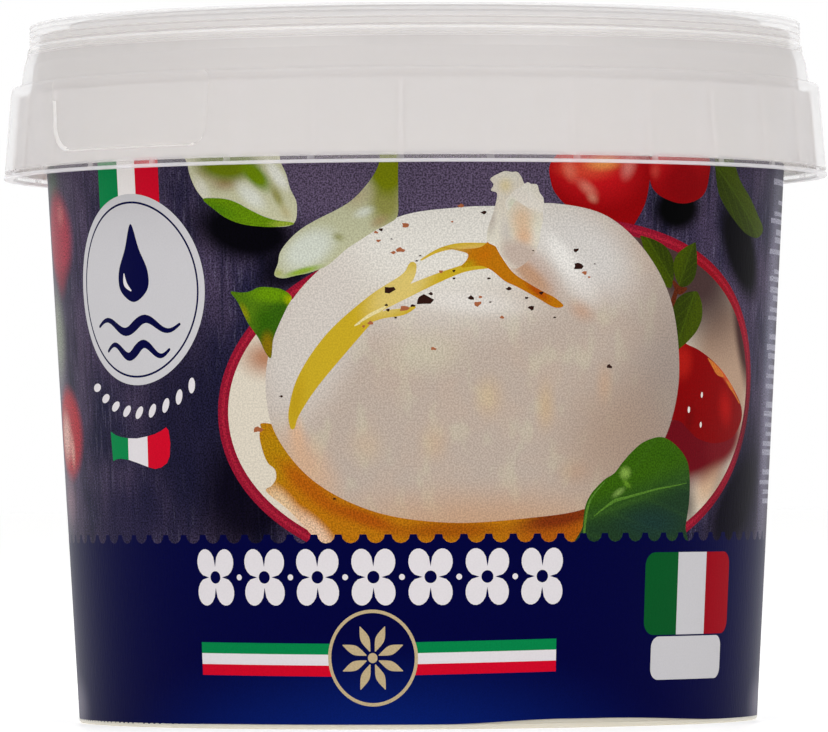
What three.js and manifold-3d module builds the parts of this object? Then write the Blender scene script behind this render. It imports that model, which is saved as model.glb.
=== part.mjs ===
// A round snap-lid tub of fresh cheese, shut and full: a tapered tub, the printed film
// that wraps its wall, and a stepped lid with a deep skirt, a tamper band and a lifting tab.
// Millimetres, +Z up. The tub stands on Z = 0 with its axis on Z, and its front faces -Y.
// Angles are degrees round the axis, from the front towards +X.

import * as THREE from "three";
import { mergeVertices } from "three/addons/utils/BufferGeometryUtils.js";
import Module from "manifold-3d";

// Whole object
const TOTAL_HEIGHT = 86;
const FACETS = 72; // flats round every turned shape
const GAP = 0.3; // clear space between pieces that lie on each other

// Tub wall: a cone that widens upwards
const BASE_RADIUS = 41.9;
const WALL_SLOPE = 0.0552; // radius gained for each millimetre of height
const BASE_CORNER = 0.6;
const FOOT_INNER_RADIUS = 38.3;
const FOOT_RECESS = 1;
const WALL_TOP = 78.6;
const RIM_RADIUS = 46.8;
const RIM_TOP = 84.5;
const RIM_INNER_RADIUS = 43.9;

// Printed film
const LABEL_BOTTOM = 0.6;
const LABEL_TOP = 68.5; // just above the edge of the skirt
const LABEL_THICKNESS = 0.3;
const LABEL_SEAM = 1.4; // open strip at the back, where the two ends stop short

// Lid
const LID_WALL = 1.2;
const PANEL_TOP = 83.6;
const PANEL_RADIUS = 41.6;
const RIM_RING_INNER = 42.7; // top edge of the raised ring, towards the panel
const RIM_RING_OUTER = 47.73;
const RING_FOOT = 83; // height where the ring meets the slope to the band
const SLOPE_RADIUS = 48.07; // bend in the middle of that slope
const SLOPE_BEND = 82.1;
const BAND_UPPER_RADIUS = 48.44;
const BAND_TOP = 80.9;
const BAND_LOWER_RADIUS = 48.8;
const SHOULDER = 78.4; // height where the band meets the skirt's shoulder
const SKIRT_TOP = 77.4;
const SKIRT_UPPER_RADIUS = 50.08;
const SKIRT_BOTTOM = 67;
const SKIRT_LOWER_RADIUS = 50.95;

// Fine ridges round the raised ring
const RIDGES = 3;
const RIDGE_PITCH = 0.72;
const RIDGE_DEPTH = 0.2;

// Tamper band: a thin lip that hangs under the skirt on short bridges
const LIP_HEIGHT = 0.4;
const SLOT_HEIGHT = 0.45;
const BRIDGES = 30;
const BRIDGE_WIDTH = 0.9;
const FIRST_BRIDGE = -2;

// Ribs inside the skirt, one over each bridge, save behind the tab
const RIB_WIDTH = 0.6;
const RIB_INNER_RADIUS = 46.9;

// Lifting tab: a low plate with round corners on the skirt. Its top stands clear of the shoulder.
const TAB_CENTRE = -45.2;
const TAB_WIDTH = 27.6; // straight across, at the top
const TAB_TAPER = 1; // each side comes in this much by the lower corner
const TAB_BOTTOM = 69.5;
const TAB_TOP = 79;
const TAB_CORNER = 3.2;
const TAB_TOP_CORNER = 1;
const TAB_RELIEF = 0.25; // how far the plate stands out of the skirt

const wasm = await Module();
wasm.setup();

const radians = (degrees) => (degrees * Math.PI) / 180;

const wallRadius = (z) => BASE_RADIUS + WALL_SLOPE * z;

function skirtRadius(z) {
  const share = (z - SKIRT_BOTTOM) / (SKIRT_TOP - SKIRT_BOTTOM);
  return THREE.MathUtils.lerp(SKIRT_LOWER_RADIUS, SKIRT_UPPER_RADIUS, share);
}

// A turned shape from [radius, height] pairs. They run with the material on their left.
function turned(profile) {
  const points = profile.map(([r, z]) => new THREE.Vector2(r, z));
  return new THREE.LatheGeometry(points, FACETS).rotateX(Math.PI / 2);
}

// A geometry as a solid for joining and cutting.
function solidFrom(geometry) {
  const bare = geometry.clone();
  bare.deleteAttribute("normal");
  bare.deleteAttribute("uv");
  const merged = mergeVertices(bare, 1e-4);
  const corners = merged.index.array;
  const kept = [];
  for (let i = 0; i < corners.length; i += 3) {
    const [a, b, c] = corners.slice(i, i + 3);
    if (a !== b && b !== c && c !== a) kept.push(a, b, c);
  }
  return new wasm.Manifold(
    new wasm.Mesh({
      numProp: 3,
      vertProperties: merged.attributes.position.array,
      triVerts: new Uint32Array(kept),
    }),
  );
}

// The geometry of a solid that was joined or cut.
function geometryFrom(solid) {
  const mesh = solid.getMesh();
  const geometry = new THREE.BufferGeometry();
  geometry.setAttribute("position", new THREE.BufferAttribute(mesh.vertProperties, 3));
  geometry.setIndex(new THREE.BufferAttribute(mesh.triVerts, 1));
  geometry.computeVertexNormals();
  return geometry;
}

// Turns a shape drawn as (outward, up, sideways) to an angle round the axis.
function turnTo(geometry, angle) {
  const outward = new THREE.Vector3(Math.sin(radians(angle)), -Math.cos(radians(angle)), 0);
  const up = new THREE.Vector3(0, 0, 1);
  const sideways = new THREE.Vector3().crossVectors(outward, up);
  return geometry.applyMatrix4(new THREE.Matrix4().makeBasis(outward, up, sideways));
}

// Turns a shape drawn as (across, up, outward) to face outwards at an angle round the axis.
function faceTo(geometry, angle) {
  const outward = new THREE.Vector3(Math.sin(radians(angle)), -Math.cos(radians(angle)), 0);
  const up = new THREE.Vector3(0, 0, 1);
  const across = new THREE.Vector3().crossVectors(up, outward);
  return geometry.applyMatrix4(new THREE.Matrix4().makeBasis(across, up, outward));
}

// A flat bar that stands in the plane of the axis, from [radius, height] corners.
function radialBar(corners, width, angle) {
  const outline = new THREE.Shape(corners.map(([r, z]) => new THREE.Vector2(r, z)));
  const bar = new THREE.ExtrudeGeometry(outline, { depth: width, bevelEnabled: false });
  return solidFrom(turnTo(bar.translate(0, 0, -width / 2), angle));
}

const bridgeAngles = Array.from(
  { length: BRIDGES },
  (_, i) => FIRST_BRIDGE + (i * 360) / BRIDGES,
);

// The tub with its contents: solid up to the underside of the lid. The label sits in a
// shallow recess of the wall, and the rim stands up into the hollow ring of the lid.
function tubGeometry() {
  const panelUnderside = PANEL_TOP - LID_WALL;
  const recess = LABEL_THICKNESS + GAP;
  const recessBottom = LABEL_BOTTOM - GAP;
  const recessTop = LABEL_TOP + GAP;
  return turned([
    [0, FOOT_RECESS],
    [FOOT_INNER_RADIUS - FOOT_RECESS, FOOT_RECESS],
    [FOOT_INNER_RADIUS, 0],
    [BASE_RADIUS - BASE_CORNER, 0],
    [BASE_RADIUS - BASE_CORNER * 0.3, BASE_CORNER * 0.3],
    [wallRadius(recessBottom), recessBottom],
    [wallRadius(recessBottom) - recess, recessBottom],
    [wallRadius(recessTop) - recess, recessTop],
    [wallRadius(recessTop), recessTop],
    [wallRadius(WALL_TOP), WALL_TOP],
    [RIM_RADIUS, WALL_TOP + 0.7],
    [RIM_RADIUS, WALL_TOP + 2.6],
    [RIM_RADIUS - 0.7, RIM_TOP - 1.4],
    [RIM_RADIUS - 0.7, RIM_TOP - 0.3],
    [RIM_RADIUS - 1, RIM_TOP],
    [RIM_INNER_RADIUS + 0.3, RIM_TOP],
    [RIM_INNER_RADIUS, RIM_TOP - 0.3],
    [RIM_INNER_RADIUS - 0.25, panelUnderside + 0.1],
    [RIM_INNER_RADIUS - 0.65, panelUnderside - GAP],
    [0, panelUnderside - GAP],
  ]);
}

// The film lies flush with the wall above and below it. Its ends leave a seam at the back.
function labelGeometry() {
  const ring = turned([
    [wallRadius(LABEL_BOTTOM) - LABEL_THICKNESS, LABEL_BOTTOM],
    [wallRadius(LABEL_BOTTOM), LABEL_BOTTOM],
    [wallRadius(LABEL_TOP), LABEL_TOP],
    [wallRadius(LABEL_TOP) - LABEL_THICKNESS, LABEL_TOP],
    [wallRadius(LABEL_BOTTOM) - LABEL_THICKNESS, LABEL_BOTTOM],
  ]);
  const seam = new THREE.BoxGeometry(LABEL_SEAM, BASE_RADIUS, TOTAL_HEIGHT);
  seam.translate(0, BASE_RADIUS, TOTAL_HEIGHT / 2);
  return geometryFrom(solidFrom(ring).subtract(solidFrom(seam)));
}

// Underside of the lid, from the axis outwards: panel, hollow ring, band and skirt.
function lidUnderside() {
  const panelUnderside = PANEL_TOP - LID_WALL;
  const ringRoof = TOTAL_HEIGHT - LID_WALL;
  const ringInner = RIM_RING_INNER + LID_WALL - 0.3;
  const ringOuter = RIM_RING_OUTER - LID_WALL;
  const ledge = SKIRT_TOP - 0.3;
  return [
    [0, panelUnderside],
    [ringInner - 0.7, panelUnderside],
    [ringInner - 0.3, panelUnderside + 0.3],
    [ringInner, ringRoof - 0.3],
    [ringInner + 0.3, ringRoof],
    [ringOuter - 0.4, ringRoof],
    [ringOuter - 0.1, ringRoof - 0.3],
    [ringOuter, RING_FOOT],
    [SLOPE_RADIUS - LID_WALL, SLOPE_BEND],
    [BAND_UPPER_RADIUS - LID_WALL, BAND_TOP],
    [BAND_LOWER_RADIUS - LID_WALL, ledge + 0.2],
    [skirtRadius(ledge) - LID_WALL, ledge],
    [SKIRT_LOWER_RADIUS - LID_WALL, SKIRT_BOTTOM],
  ];
}

// Outside of the lid from the foot of the skirt up to the axis.
function lidOutside() {
  const ridges = [];
  for (let i = 0; i < RIDGES; i++) {
    const z = RING_FOOT + 0.25 + i * RIDGE_PITCH;
    ridges.push([RIM_RING_OUTER, z]);
    ridges.push([RIM_RING_OUTER, z + RIDGE_PITCH * 0.5]);
    ridges.push([RIM_RING_OUTER - RIDGE_DEPTH, z + RIDGE_PITCH * 0.62]);
    ridges.push([RIM_RING_OUTER - RIDGE_DEPTH, z + RIDGE_PITCH * 0.88]);
  }
  return [
    [SKIRT_LOWER_RADIUS, SKIRT_BOTTOM],
    [SKIRT_UPPER_RADIUS, SKIRT_TOP],
    [SKIRT_UPPER_RADIUS - 0.35, SKIRT_TOP + 0.65],
    [BAND_LOWER_RADIUS + 0.1, SHOULDER - 0.1],
    [BAND_LOWER_RADIUS, SHOULDER + 0.2],
    [BAND_UPPER_RADIUS, BAND_TOP],
    [SLOPE_RADIUS, SLOPE_BEND],
    ...ridges,
    [RIM_RING_OUTER - 0.1, TOTAL_HEIGHT - 0.5],
    [RIM_RING_OUTER - 0.5, TOTAL_HEIGHT],
    [RIM_RING_INNER + 0.3, TOTAL_HEIGHT],
    [RIM_RING_INNER, TOTAL_HEIGHT - 0.3],
    [PANEL_RADIUS + 0.6, PANEL_TOP + 0.4],
    [PANEL_RADIUS, PANEL_TOP],
    [0, PANEL_TOP],
  ];
}

// The slot between skirt and lip, in one piece: a full ring less a bar at each bridge.
function slotCutter() {
  const low = SKIRT_BOTTOM + LIP_HEIGHT;
  const high = low + SLOT_HEIGHT;
  const inner = SKIRT_LOWER_RADIUS - 2 * LID_WALL;
  const outer = SKIRT_LOWER_RADIUS + LID_WALL;
  let ring = solidFrom(
    turned([
      [inner, low],
      [outer, low],
      [outer, high],
      [inner, high],
      [inner, low],
    ]),
  );
  const bridge = [
    [inner - 1, low - 1],
    [outer + 1, low - 1],
    [outer + 1, high + 1],
    [inner - 1, high + 1],
  ];
  for (const angle of bridgeAngles) {
    ring = ring.subtract(radialBar(bridge, BRIDGE_WIDTH, angle));
  }
  return ring;
}

// The lifting tab: a band of the skirt, a little thicker, cut to a plate with round corners.
function tabPlate() {
  const bands = [TAB_BOTTOM - 1, TAB_TOP + 1];
  const inner = bands.map((z) => [skirtRadius(z) - LID_WALL / 2, z]);
  const outer = bands.map((z) => [skirtRadius(z) + TAB_RELIEF, z]);
  const band = turned([inner[0], outer[0], outer[1], inner[1], inner[0]]);

  const top = TAB_WIDTH / 2 - TAB_TOP_CORNER;
  const foot = TAB_WIDTH / 2 - TAB_TAPER - TAB_CORNER;
  const topCorner = TAB_TOP - TAB_TOP_CORNER;
  const footCorner = TAB_BOTTOM + TAB_CORNER;
  const quarter = Math.PI / 2;
  const outline = new THREE.Shape();
  outline.absarc(foot, footCorner, TAB_CORNER, 3 * quarter, 4 * quarter, false);
  outline.absarc(top, topCorner, TAB_TOP_CORNER, 0, quarter, false);
  outline.absarc(-top, topCorner, TAB_TOP_CORNER, quarter, 2 * quarter, false);
  outline.absarc(-foot, footCorner, TAB_CORNER, 2 * quarter, 3 * quarter, false);
  const reach = { depth: 2 * SKIRT_LOWER_RADIUS, bevelEnabled: false, curveSegments: 6 };
  const cutter = new THREE.ExtrudeGeometry(outline, reach);
  return solidFrom(band).intersect(solidFrom(faceTo(cutter, TAB_CENTRE)));
}

// A rib inside the skirt, from just above the slot to the ledge under the band.
function ribAt(angle) {
  const low = SKIRT_BOTTOM + LIP_HEIGHT + SLOT_HEIGHT;
  const high = SKIRT_TOP - 0.1;
  const inWall = (z) => skirtRadius(z) - LID_WALL / 2;
  const corners = [
    [RIB_INNER_RADIUS, low + inWall(low) - RIB_INNER_RADIUS],
    [inWall(low), low],
    [inWall(high), high],
    [RIB_INNER_RADIUS, high],
  ];
  return radialBar(corners, RIB_WIDTH, angle);
}

function lidGeometry() {
  const tabHalfAngle = THREE.MathUtils.radToDeg(Math.asin(TAB_WIDTH / 2 / SKIRT_LOWER_RADIUS));
  let lid = solidFrom(turned([...lidUnderside(), ...lidOutside()]));
  for (const angle of bridgeAngles) {
    const fromTab = THREE.MathUtils.euclideanModulo(angle - TAB_CENTRE + 180, 360) - 180;
    if (Math.abs(fromTab) > tabHalfAngle) lid = lid.add(ribAt(angle));
  }
  return geometryFrom(lid.add(tabPlate()).subtract(slotCutter()));
}

function namedMesh(name, geometry, color, roughness) {
  const material = new THREE.MeshStandardMaterial({ color, roughness, metalness: 0 });
  const mesh = new THREE.Mesh(geometry, material);
  mesh.name = name;
  return mesh;
}

const group = new THREE.Group();
group.add(namedMesh("tub", tubGeometry(), 0xe2ded2, 0.4));
group.add(namedMesh("label", labelGeometry(), 0x1c2350, 0.35));
group.add(namedMesh("lid", lidGeometry(), 0xd9d5cf, 0.45));

export default group;
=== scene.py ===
"""A shut snap-lid tub of fresh cheese: moulded tub, printed film and translucent lid.

Lengths are millimetres unless a name says otherwise. The axis of the tub is Z, and its
printed front faces -Y. On the film a place is (s, z): s is the arc from the middle of the
front, measured at the film's reference radius, and z is the height over the floor.
"""

from __future__ import annotations

import logging
import math
from dataclasses import dataclass, field
from enum import Enum
from typing import Sequence

import bmesh
import bpy
from mathutils import Matrix, Vector
from mathutils.geometry import delaunay_2d_cdt


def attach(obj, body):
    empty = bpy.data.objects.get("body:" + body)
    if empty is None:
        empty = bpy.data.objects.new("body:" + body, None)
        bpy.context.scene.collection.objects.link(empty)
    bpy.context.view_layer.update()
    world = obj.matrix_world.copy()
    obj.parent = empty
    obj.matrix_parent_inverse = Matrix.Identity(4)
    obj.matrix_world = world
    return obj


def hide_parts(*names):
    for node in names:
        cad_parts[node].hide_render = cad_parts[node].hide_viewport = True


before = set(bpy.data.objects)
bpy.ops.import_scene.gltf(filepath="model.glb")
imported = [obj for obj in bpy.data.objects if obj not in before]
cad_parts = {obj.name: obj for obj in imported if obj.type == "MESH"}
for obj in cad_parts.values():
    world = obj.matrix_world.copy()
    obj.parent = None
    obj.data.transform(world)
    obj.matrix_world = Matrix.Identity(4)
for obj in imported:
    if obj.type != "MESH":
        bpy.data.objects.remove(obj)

LOG = logging.getLogger("cheese_tub")
MM = 0.001
ROOT = "root"
FINEST_LINE = 0.04
# Settings of nodes: a range that rises softly, and a mix of two colours.
SOFT = {"interpolation_type": "SMOOTHSTEP"}
COLOURS = {"data_type": "RGBA"}

Place = tuple[float, float]
Piece = bpy.types.Object
Tree = bpy.types.NodeTree
Node = bpy.types.Node


# ---------------------------------------------------------------- colours and nodes


def linear(code: str) -> tuple[float, float, float, float]:
    """Turns an sRGB hex value into the linear colour that shaders use.

    Args:
        code: Six hex digits, such as "1c2350".

    Returns:
        Red, green, blue and an alpha of 1.
    """
    shares = [int(code[i : i + 2], 16) / 255 for i in (0, 2, 4)]
    curve = [c / 12.92 if c <= 0.04045 else ((c + 0.055) / 1.055) ** 2.4 for c in shares]
    return (curve[0], curve[1], curve[2], 1.0)


def add(tree: Tree, kind: str, settings: dict | None = None, inputs: dict | Sequence = ()) -> Node:
    """Adds a node with its settings, and fills or links its inputs.

    Args:
        tree: The node tree that takes the node.
        kind: The node's type name.
        settings: Properties of the node by name.
        inputs: Values, output sockets or nodes, by the input's name, or as a list in the
            order of the inputs in use. A node stands for its first output in use.

    Returns:
        The new node.
    """
    node = tree.nodes.new(kind)
    for name, value in (settings or {}).items():
        setattr(node, name, value)
    named = isinstance(inputs, dict)
    sockets = node.inputs if named else [socket for socket in node.inputs if socket.enabled]
    for key, value in inputs.items() if named else enumerate(inputs):
        if isinstance(value, Node):
            value = next(socket for socket in value.outputs if socket.enabled)
        if isinstance(value, bpy.types.NodeSocket):
            tree.links.new(value, sockets[key])
        else:
            sockets[key].default_value = value
    return node


# ---------------------------------------------------------------- turned shapes


@dataclass(frozen=True)
class Corner:
    """A corner of a turned profile, rounded by a fillet.

    Attributes:
        r: Distance from the axis.
        z: Height.
        fillet: Radius of the rounding, or 0 for a sharp corner.
    """

    r: float
    z: float
    fillet: float = 0.0


def rounded(corners: Sequence[Corner], steps: int = 5) -> list[Place]:
    """Rounds the corners of an open profile.

    Args:
        corners: The profile's corners in order.
        steps: Number of stretches in each rounding.

    Returns:
        Points of the rounded profile.
    """
    points: list[Place] = []
    for i, corner in enumerate(corners):
        here = Vector((corner.r, corner.z))
        if corner.fillet <= 0 or i in (0, len(corners) - 1):
            points.append((here.x, here.y))
            continue
        back = Vector((corners[i - 1].r, corners[i - 1].z)) - here
        on = Vector((corners[i + 1].r, corners[i + 1].z)) - here
        half = back.angle(on) / 2
        reach = min(corner.fillet / math.tan(half), back.length * 0.48, on.length * 0.48)
        radius = reach * math.tan(half)
        centre = here + (back.normalized() + on.normalized()).normalized() * (radius / math.sin(half))
        start = here + back.normalized() * reach - centre
        sweep = start.angle_signed(here + on.normalized() * reach - centre)
        for k in range(steps + 1):
            turned = start.copy()
            turned.rotate(Matrix.Rotation(-sweep * k / steps, 2))
            points.append((centre.x + turned.x, centre.y + turned.y))
    return points


def soft_step(value: float, start: float, end: float) -> float:
    """A smooth rise from 0 at the start to 1 at the end."""
    share = min(1.0, max(0.0, (value - start) / (end - start)))
    return share * share * (3 - 2 * share)


def on_circle(radius: float, angle: float, z: float) -> Vector:
    """The point at an angle from the front, in metres."""
    return Vector((radius * math.sin(angle), -radius * math.cos(angle), z)) * MM


def mesh_object(name: str, verts: Sequence[Vector], faces: Sequence[Sequence[int]]) -> Piece:
    """Makes an object with smooth faces from points in metres.

    Args:
        name: The piece's name.
        verts: Points in metres.
        faces: Corner numbers of each face, anticlockwise from outside.

    Returns:
        The new object, at the origin.
    """
    mesh = bpy.data.meshes.new(name)
    mesh.from_pydata([tuple(v) for v in verts], [], [tuple(f) for f in faces])
    mesh.polygons.foreach_set("use_smooth", [True] * len(mesh.polygons))
    mesh.update()
    piece = bpy.data.objects.new(name, mesh)
    bpy.context.scene.collection.objects.link(piece)
    return piece


def turned_object(name: str, profile: Sequence[Place], segments: int) -> Piece:
    """Turns a profile round the axis into a closed shape.

    Args:
        name: The piece's name.
        profile: (radius, height) points with the material on their left. It starts and ends
            on the axis, or closes on itself where its last point meets its first.
        segments: Number of faces round the axis.

    Returns:
        The new object.
    """
    closed = profile[0] == profile[-1]
    rows = list(profile[:-1] if closed else profile)
    verts: list[Vector] = []
    rings: list[list[int]] = []
    for r, z in rows:
        count = 1 if r < 1e-6 else segments
        rings.append([len(verts) + k % count for k in range(segments)])
        verts.extend(on_circle(r, 2 * math.pi * k / segments, z) for k in range(count))
    faces = []
    spans = list(zip(rings, rings[1:] + rings[:1])) if closed else list(zip(rings, rings[1:]))
    for low, high in spans:
        for k in range(segments):
            after = (k + 1) % segments
            corners = [low[k], low[after], high[after], high[k]]
            faces.append([c for i, c in enumerate(corners) if c != corners[i - 1]])
    return mesh_object(name, verts, faces)


def plain_mesh(piece: Piece, crease: float = 28.0) -> None:
    """Applies a piece's modifiers, and keeps edges sharp past an angle.

    Args:
        piece: The object, whose modifiers are then removed.
        crease: Angle in degrees past which an edge stays sharp.
    """
    depsgraph = bpy.context.evaluated_depsgraph_get()
    done = bpy.data.meshes.new_from_object(piece.evaluated_get(depsgraph))
    piece.modifiers.clear()
    piece.data = done
    done.polygons.foreach_set("use_smooth", [True] * len(done.polygons))
    done.set_sharp_from_angle(angle=math.radians(crease))


def join_into(piece: Piece, other: Piece) -> None:
    """Adds the mesh of another object to a piece.

    Args:
        piece: The object that grows.
        other: The object that is added, and then removed.
    """
    joined = bmesh.new()
    joined.from_mesh(piece.data)
    joined.from_mesh(other.data)
    joined.to_mesh(piece.data)
    joined.free()
    bpy.data.objects.remove(other)


# ---------------------------------------------------------------- finishes


@dataclass(frozen=True)
class Finish:
    """A surface finish that becomes one material.

    Attributes:
        name: The material's name, after what the real surface is.
        hex_code: Main colour.
        roughness: Mean roughness.
        ior: Index of refraction.
    """

    name: str
    hex_code: str
    roughness: float = 0.4
    ior: float = 1.5

    def colour(self, tree: Tree) -> Node | tuple:
        """The base colour: a plain one, unless a finish has a pattern."""
        return linear(self.hex_code)

    def surface(self, tree: Tree) -> dict:
        """Shader inputs besides colour, roughness and IOR."""
        return {}

    def material(self) -> bpy.types.Material:
        """Builds the material, once.

        Returns:
            The material of this finish.
        """
        known = bpy.data.materials.get(self.name)
        if known:
            return known
        made = bpy.data.materials.new(self.name)
        made.use_nodes = True
        tree = made.node_tree
        tree.nodes.clear()
        sockets = {"Roughness": self.roughness, "IOR": self.ior, **self.surface(tree)}
        shader = add(tree, "ShaderNodeBsdfPrincipled", inputs={"Base Color": self.colour(tree), **sockets})
        add(tree, "ShaderNodeOutputMaterial", inputs={"Surface": shader})
        return made


@dataclass(frozen=True)
class NaturalPolypropylene(Finish):
    """Uncoloured polypropylene, injection moulded.

    Its wall is milky: it lets light through but blurs what is behind it, and its skin has the
    soft gloss of a polished mould, broken by a faint mottle.

    Attributes:
        cover: How much of what lies behind a skin it hides.
        scatter: How much of its light spreads inside the wall.
        scatter_mm: How far that light spreads.
        mottle_mm: Width of the mottle's patches.
        bump_mm: Height of the mottle.
    """

    ior: float = 1.49
    cover: float = 1.0
    scatter: float = 0.8
    scatter_mm: float = 0.9
    mottle_mm: float = 1.4
    bump_mm: float = 0.012

    def surface(self, tree: Tree) -> dict:
        """The light that crosses the wall, and the mottle of the skin.

        Args:
            tree: The material's node tree.

        Returns:
            Shader inputs by name.
        """
        place = add(tree, "ShaderNodeTexCoord").outputs["Object"]
        grain = {"Vector": place, "Scale": 1 / (self.mottle_mm * MM), "Detail": 3.0}
        mottle = add(tree, "ShaderNodeTexNoise", inputs=grain)
        bump = add(tree, "ShaderNodeBump", inputs={"Height": mottle, "Distance": self.bump_mm * MM})
        return {
            "Normal": bump,
            "Alpha": self.cover,
            "Subsurface Weight": self.scatter,
            "Subsurface Radius": (1.0, 0.95, 0.88),
            "Subsurface Scale": self.scatter_mm * MM,
        }


# ---------------------------------------------------------------- Geometry Nodes


class RingTree:
    """A node tree that sets copies of the piece's own mesh round the axis."""

    INPUTS = {
        "Count": "NodeSocketInt",
        "First Angle": "NodeSocketFloat",
        "Skip From": "NodeSocketFloat",
        "Skip To": "NodeSocketFloat",
        "Material": "NodeSocketMaterial",
    }
    # Values that leave no copy out.
    KEEP_ALL = {"Skip From": 1e3, "Skip To": -1e3}

    def __init__(self) -> None:
        """Builds the tree."""
        self.tree = bpy.data.node_groups.new("ring_of_copies", "GeometryNodeTree")
        face = self.tree.interface
        face.new_socket(name="Geometry", in_out="INPUT", socket_type="NodeSocketGeometry")
        face.new_socket(name="Geometry", in_out="OUTPUT", socket_type="NodeSocketGeometry")
        self.keys = {
            name: face.new_socket(name=name, in_out="INPUT", socket_type=kind).identifier
            for name, kind in self.INPUTS.items()
        }
        self._wire()

    def _wire(self) -> None:
        """Places, turns, thins out and realizes the copies."""
        tree = self.tree
        given = add(tree, "NodeGroupInput").outputs
        step = add(tree, "ShaderNodeMath", {"operation": "DIVIDE"}, [2 * math.pi, given["Count"]])
        index = add(tree, "GeometryNodeInputIndex")
        turn = add(tree, "ShaderNodeMath", {"operation": "MULTIPLY"}, [index, step])
        angle = add(tree, "ShaderNodeMath", {"operation": "ADD"}, [turn, given["First Angle"]])
        line = add(tree, "GeometryNodeMeshLine", inputs={"Count": given["Count"], "Offset": (0, 0, 0)})
        past = add(tree, "ShaderNodeMath", {"operation": "GREATER_THAN"}, [angle, given["Skip From"]])
        short = add(tree, "ShaderNodeMath", {"operation": "LESS_THAN"}, [angle, given["Skip To"]])
        skipped = add(tree, "ShaderNodeMath", {"operation": "MULTIPLY"}, [past, short])
        kept_angle = add(tree, "GeometryNodeCaptureAttribute", inputs=[line])
        kept_angle.capture_items.new("FLOAT", "Angle")
        tree.links.new(angle.outputs[0], kept_angle.inputs[1])
        points = add(tree, "GeometryNodeDeleteGeometry", {"domain": "POINT"}, [kept_angle, skipped])
        about_axis = add(tree, "ShaderNodeCombineXYZ", inputs={"Z": kept_angle.outputs[1]})
        copies = add(tree, "GeometryNodeInstanceOnPoints",
                     inputs={"Points": points, "Instance": given["Geometry"], "Rotation": about_axis})
        real = add(tree, "GeometryNodeRealizeInstances", inputs=[copies])
        dressed = add(tree, "GeometryNodeSetMaterial",
                      inputs={"Geometry": real, "Material": given["Material"]})
        add(tree, "NodeGroupOutput", inputs=[dressed])

    def apply(self, piece: Piece, values: dict[str, object]) -> None:
        """Runs the tree on a piece and keeps the result as its mesh.

        Args:
            piece: The object that holds one copy, drawn at the front.
            values: Values by input name.
        """
        ring = piece.modifiers.new("ring", "NODES")
        ring.node_group = self.tree
        for name, value in values.items():
            ring[self.keys[name]] = value
        plain_mesh(piece)


# ---------------------------------------------------------------- tub


@dataclass
class Tub:
    """The moulded tub with its contents: a cone with a foot ring and a rim.

    Attributes:
        base_radius: Wall radius, carried down to the floor.
        slope: Radius gained for each millimetre of height.
        film_low, film_high: Lower and upper edge of the printed film.
        film_depth: Depth of the step that the film lies in.
        film_gap: Room between the film and the ends of that step.
        foot_inner: Inner radius of the ring it stands on.
        base_rise: How far the middle of the base clears the floor.
        wall_top: Height at which the wall ends in its rim.
        rim_radius, rim_inner, rim_top: Radii and height of the rim.
        fill_top: Height of the contents.
        segments: Number of faces round the axis.
        finish: Its surface.
    """

    base_radius: float = 41.9
    slope: float = 0.0552
    film_low: float = 0.6
    film_high: float = 68.5
    film_depth: float = 0.13
    film_gap: float = 0.05
    foot_inner: float = 38.6
    base_rise: float = 1.0
    wall_top: float = 78.6
    rim_radius: float = 46.8
    rim_top: float = 84.5
    rim_inner: float = 43.9
    fill_top: float = 82.1
    segments: int = 288
    finish: Finish = NaturalPolypropylene("tub_natural_polypropylene", "cfc9bb", 0.36)

    def radius(self, z: float) -> float:
        """Outer radius of the wall at a height."""
        return self.base_radius + self.slope * z

    def profile(self) -> list[Place]:
        """The turned outline, from the middle of the base to the middle of the top.

        Returns:
            Its (radius, height) points.
        """
        step_low, step_high = self.film_low - self.film_gap, self.film_high + self.film_gap
        low, high, rim = self.radius(step_low), self.radius(step_high), self.rim_radius
        return rounded([
            Corner(0, self.base_rise),
            Corner(self.foot_inner - 0.7, self.base_rise, 0.5),
            Corner(self.foot_inner, 0.0, 0.4),
            Corner(self.radius(0), 0.0, 0.5),
            Corner(low, step_low, 0.03),
            Corner(low - self.film_depth, step_low, 0.03),
            Corner(high - self.film_depth, step_high, 0.03),
            Corner(high, step_high, 0.03),
            Corner(self.radius(self.wall_top), self.wall_top, 0.3),
            Corner(rim, self.wall_top + 0.7, 0.3),
            Corner(rim, self.wall_top + 2.6, 0.5),
            Corner(rim - 0.7, self.rim_top - 1.4, 0.4),
            Corner(rim - 0.7, self.rim_top, 0.35),
            Corner(self.rim_inner, self.rim_top, 0.35),
            Corner(self.rim_inner - 0.35, self.fill_top, 0.3),
            Corner(0, self.fill_top),
        ])

    def build(self) -> Piece:
        """Makes the tub, dresses it and sets it in place of its solid.

        Returns:
            The finished tub.
        """
        piece = turned_object("tub_moulding", self.profile(), self.segments)
        piece.data.set_sharp_from_angle(angle=math.radians(50))
        piece.data.materials.append(self.finish.material())
        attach(piece, ROOT)
        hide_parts("tub")
        return piece


# ---------------------------------------------------------------- drawing on the film


def flow(ends: Sequence[Vector], t: float) -> Vector:
    """The point at share t between the middle two of four points, on the curve through all four."""
    a, b, c, d = ends
    return 0.5 * (2 * b + (c - a) * t + (2 * a - 5 * b + 4 * c - d) * t**2 + (3 * b - a - 3 * c + d) * t**3)


def smooth_loop(points: Sequence[Place], steps: int = 7) -> list[Place]:
    """A closed curve that flows through points.

    Args:
        points: The places it passes, in order.
        steps: Stretches between two places.

    Returns:
        Points of the curve.
    """
    curve = []
    count = len(points)
    for i in range(count):
        ends = [Vector(points[(i + k - 1) % count]) for k in range(4)]
        curve += [tuple(flow(ends, k / steps)) for k in range(steps)]
    return curve


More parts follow.
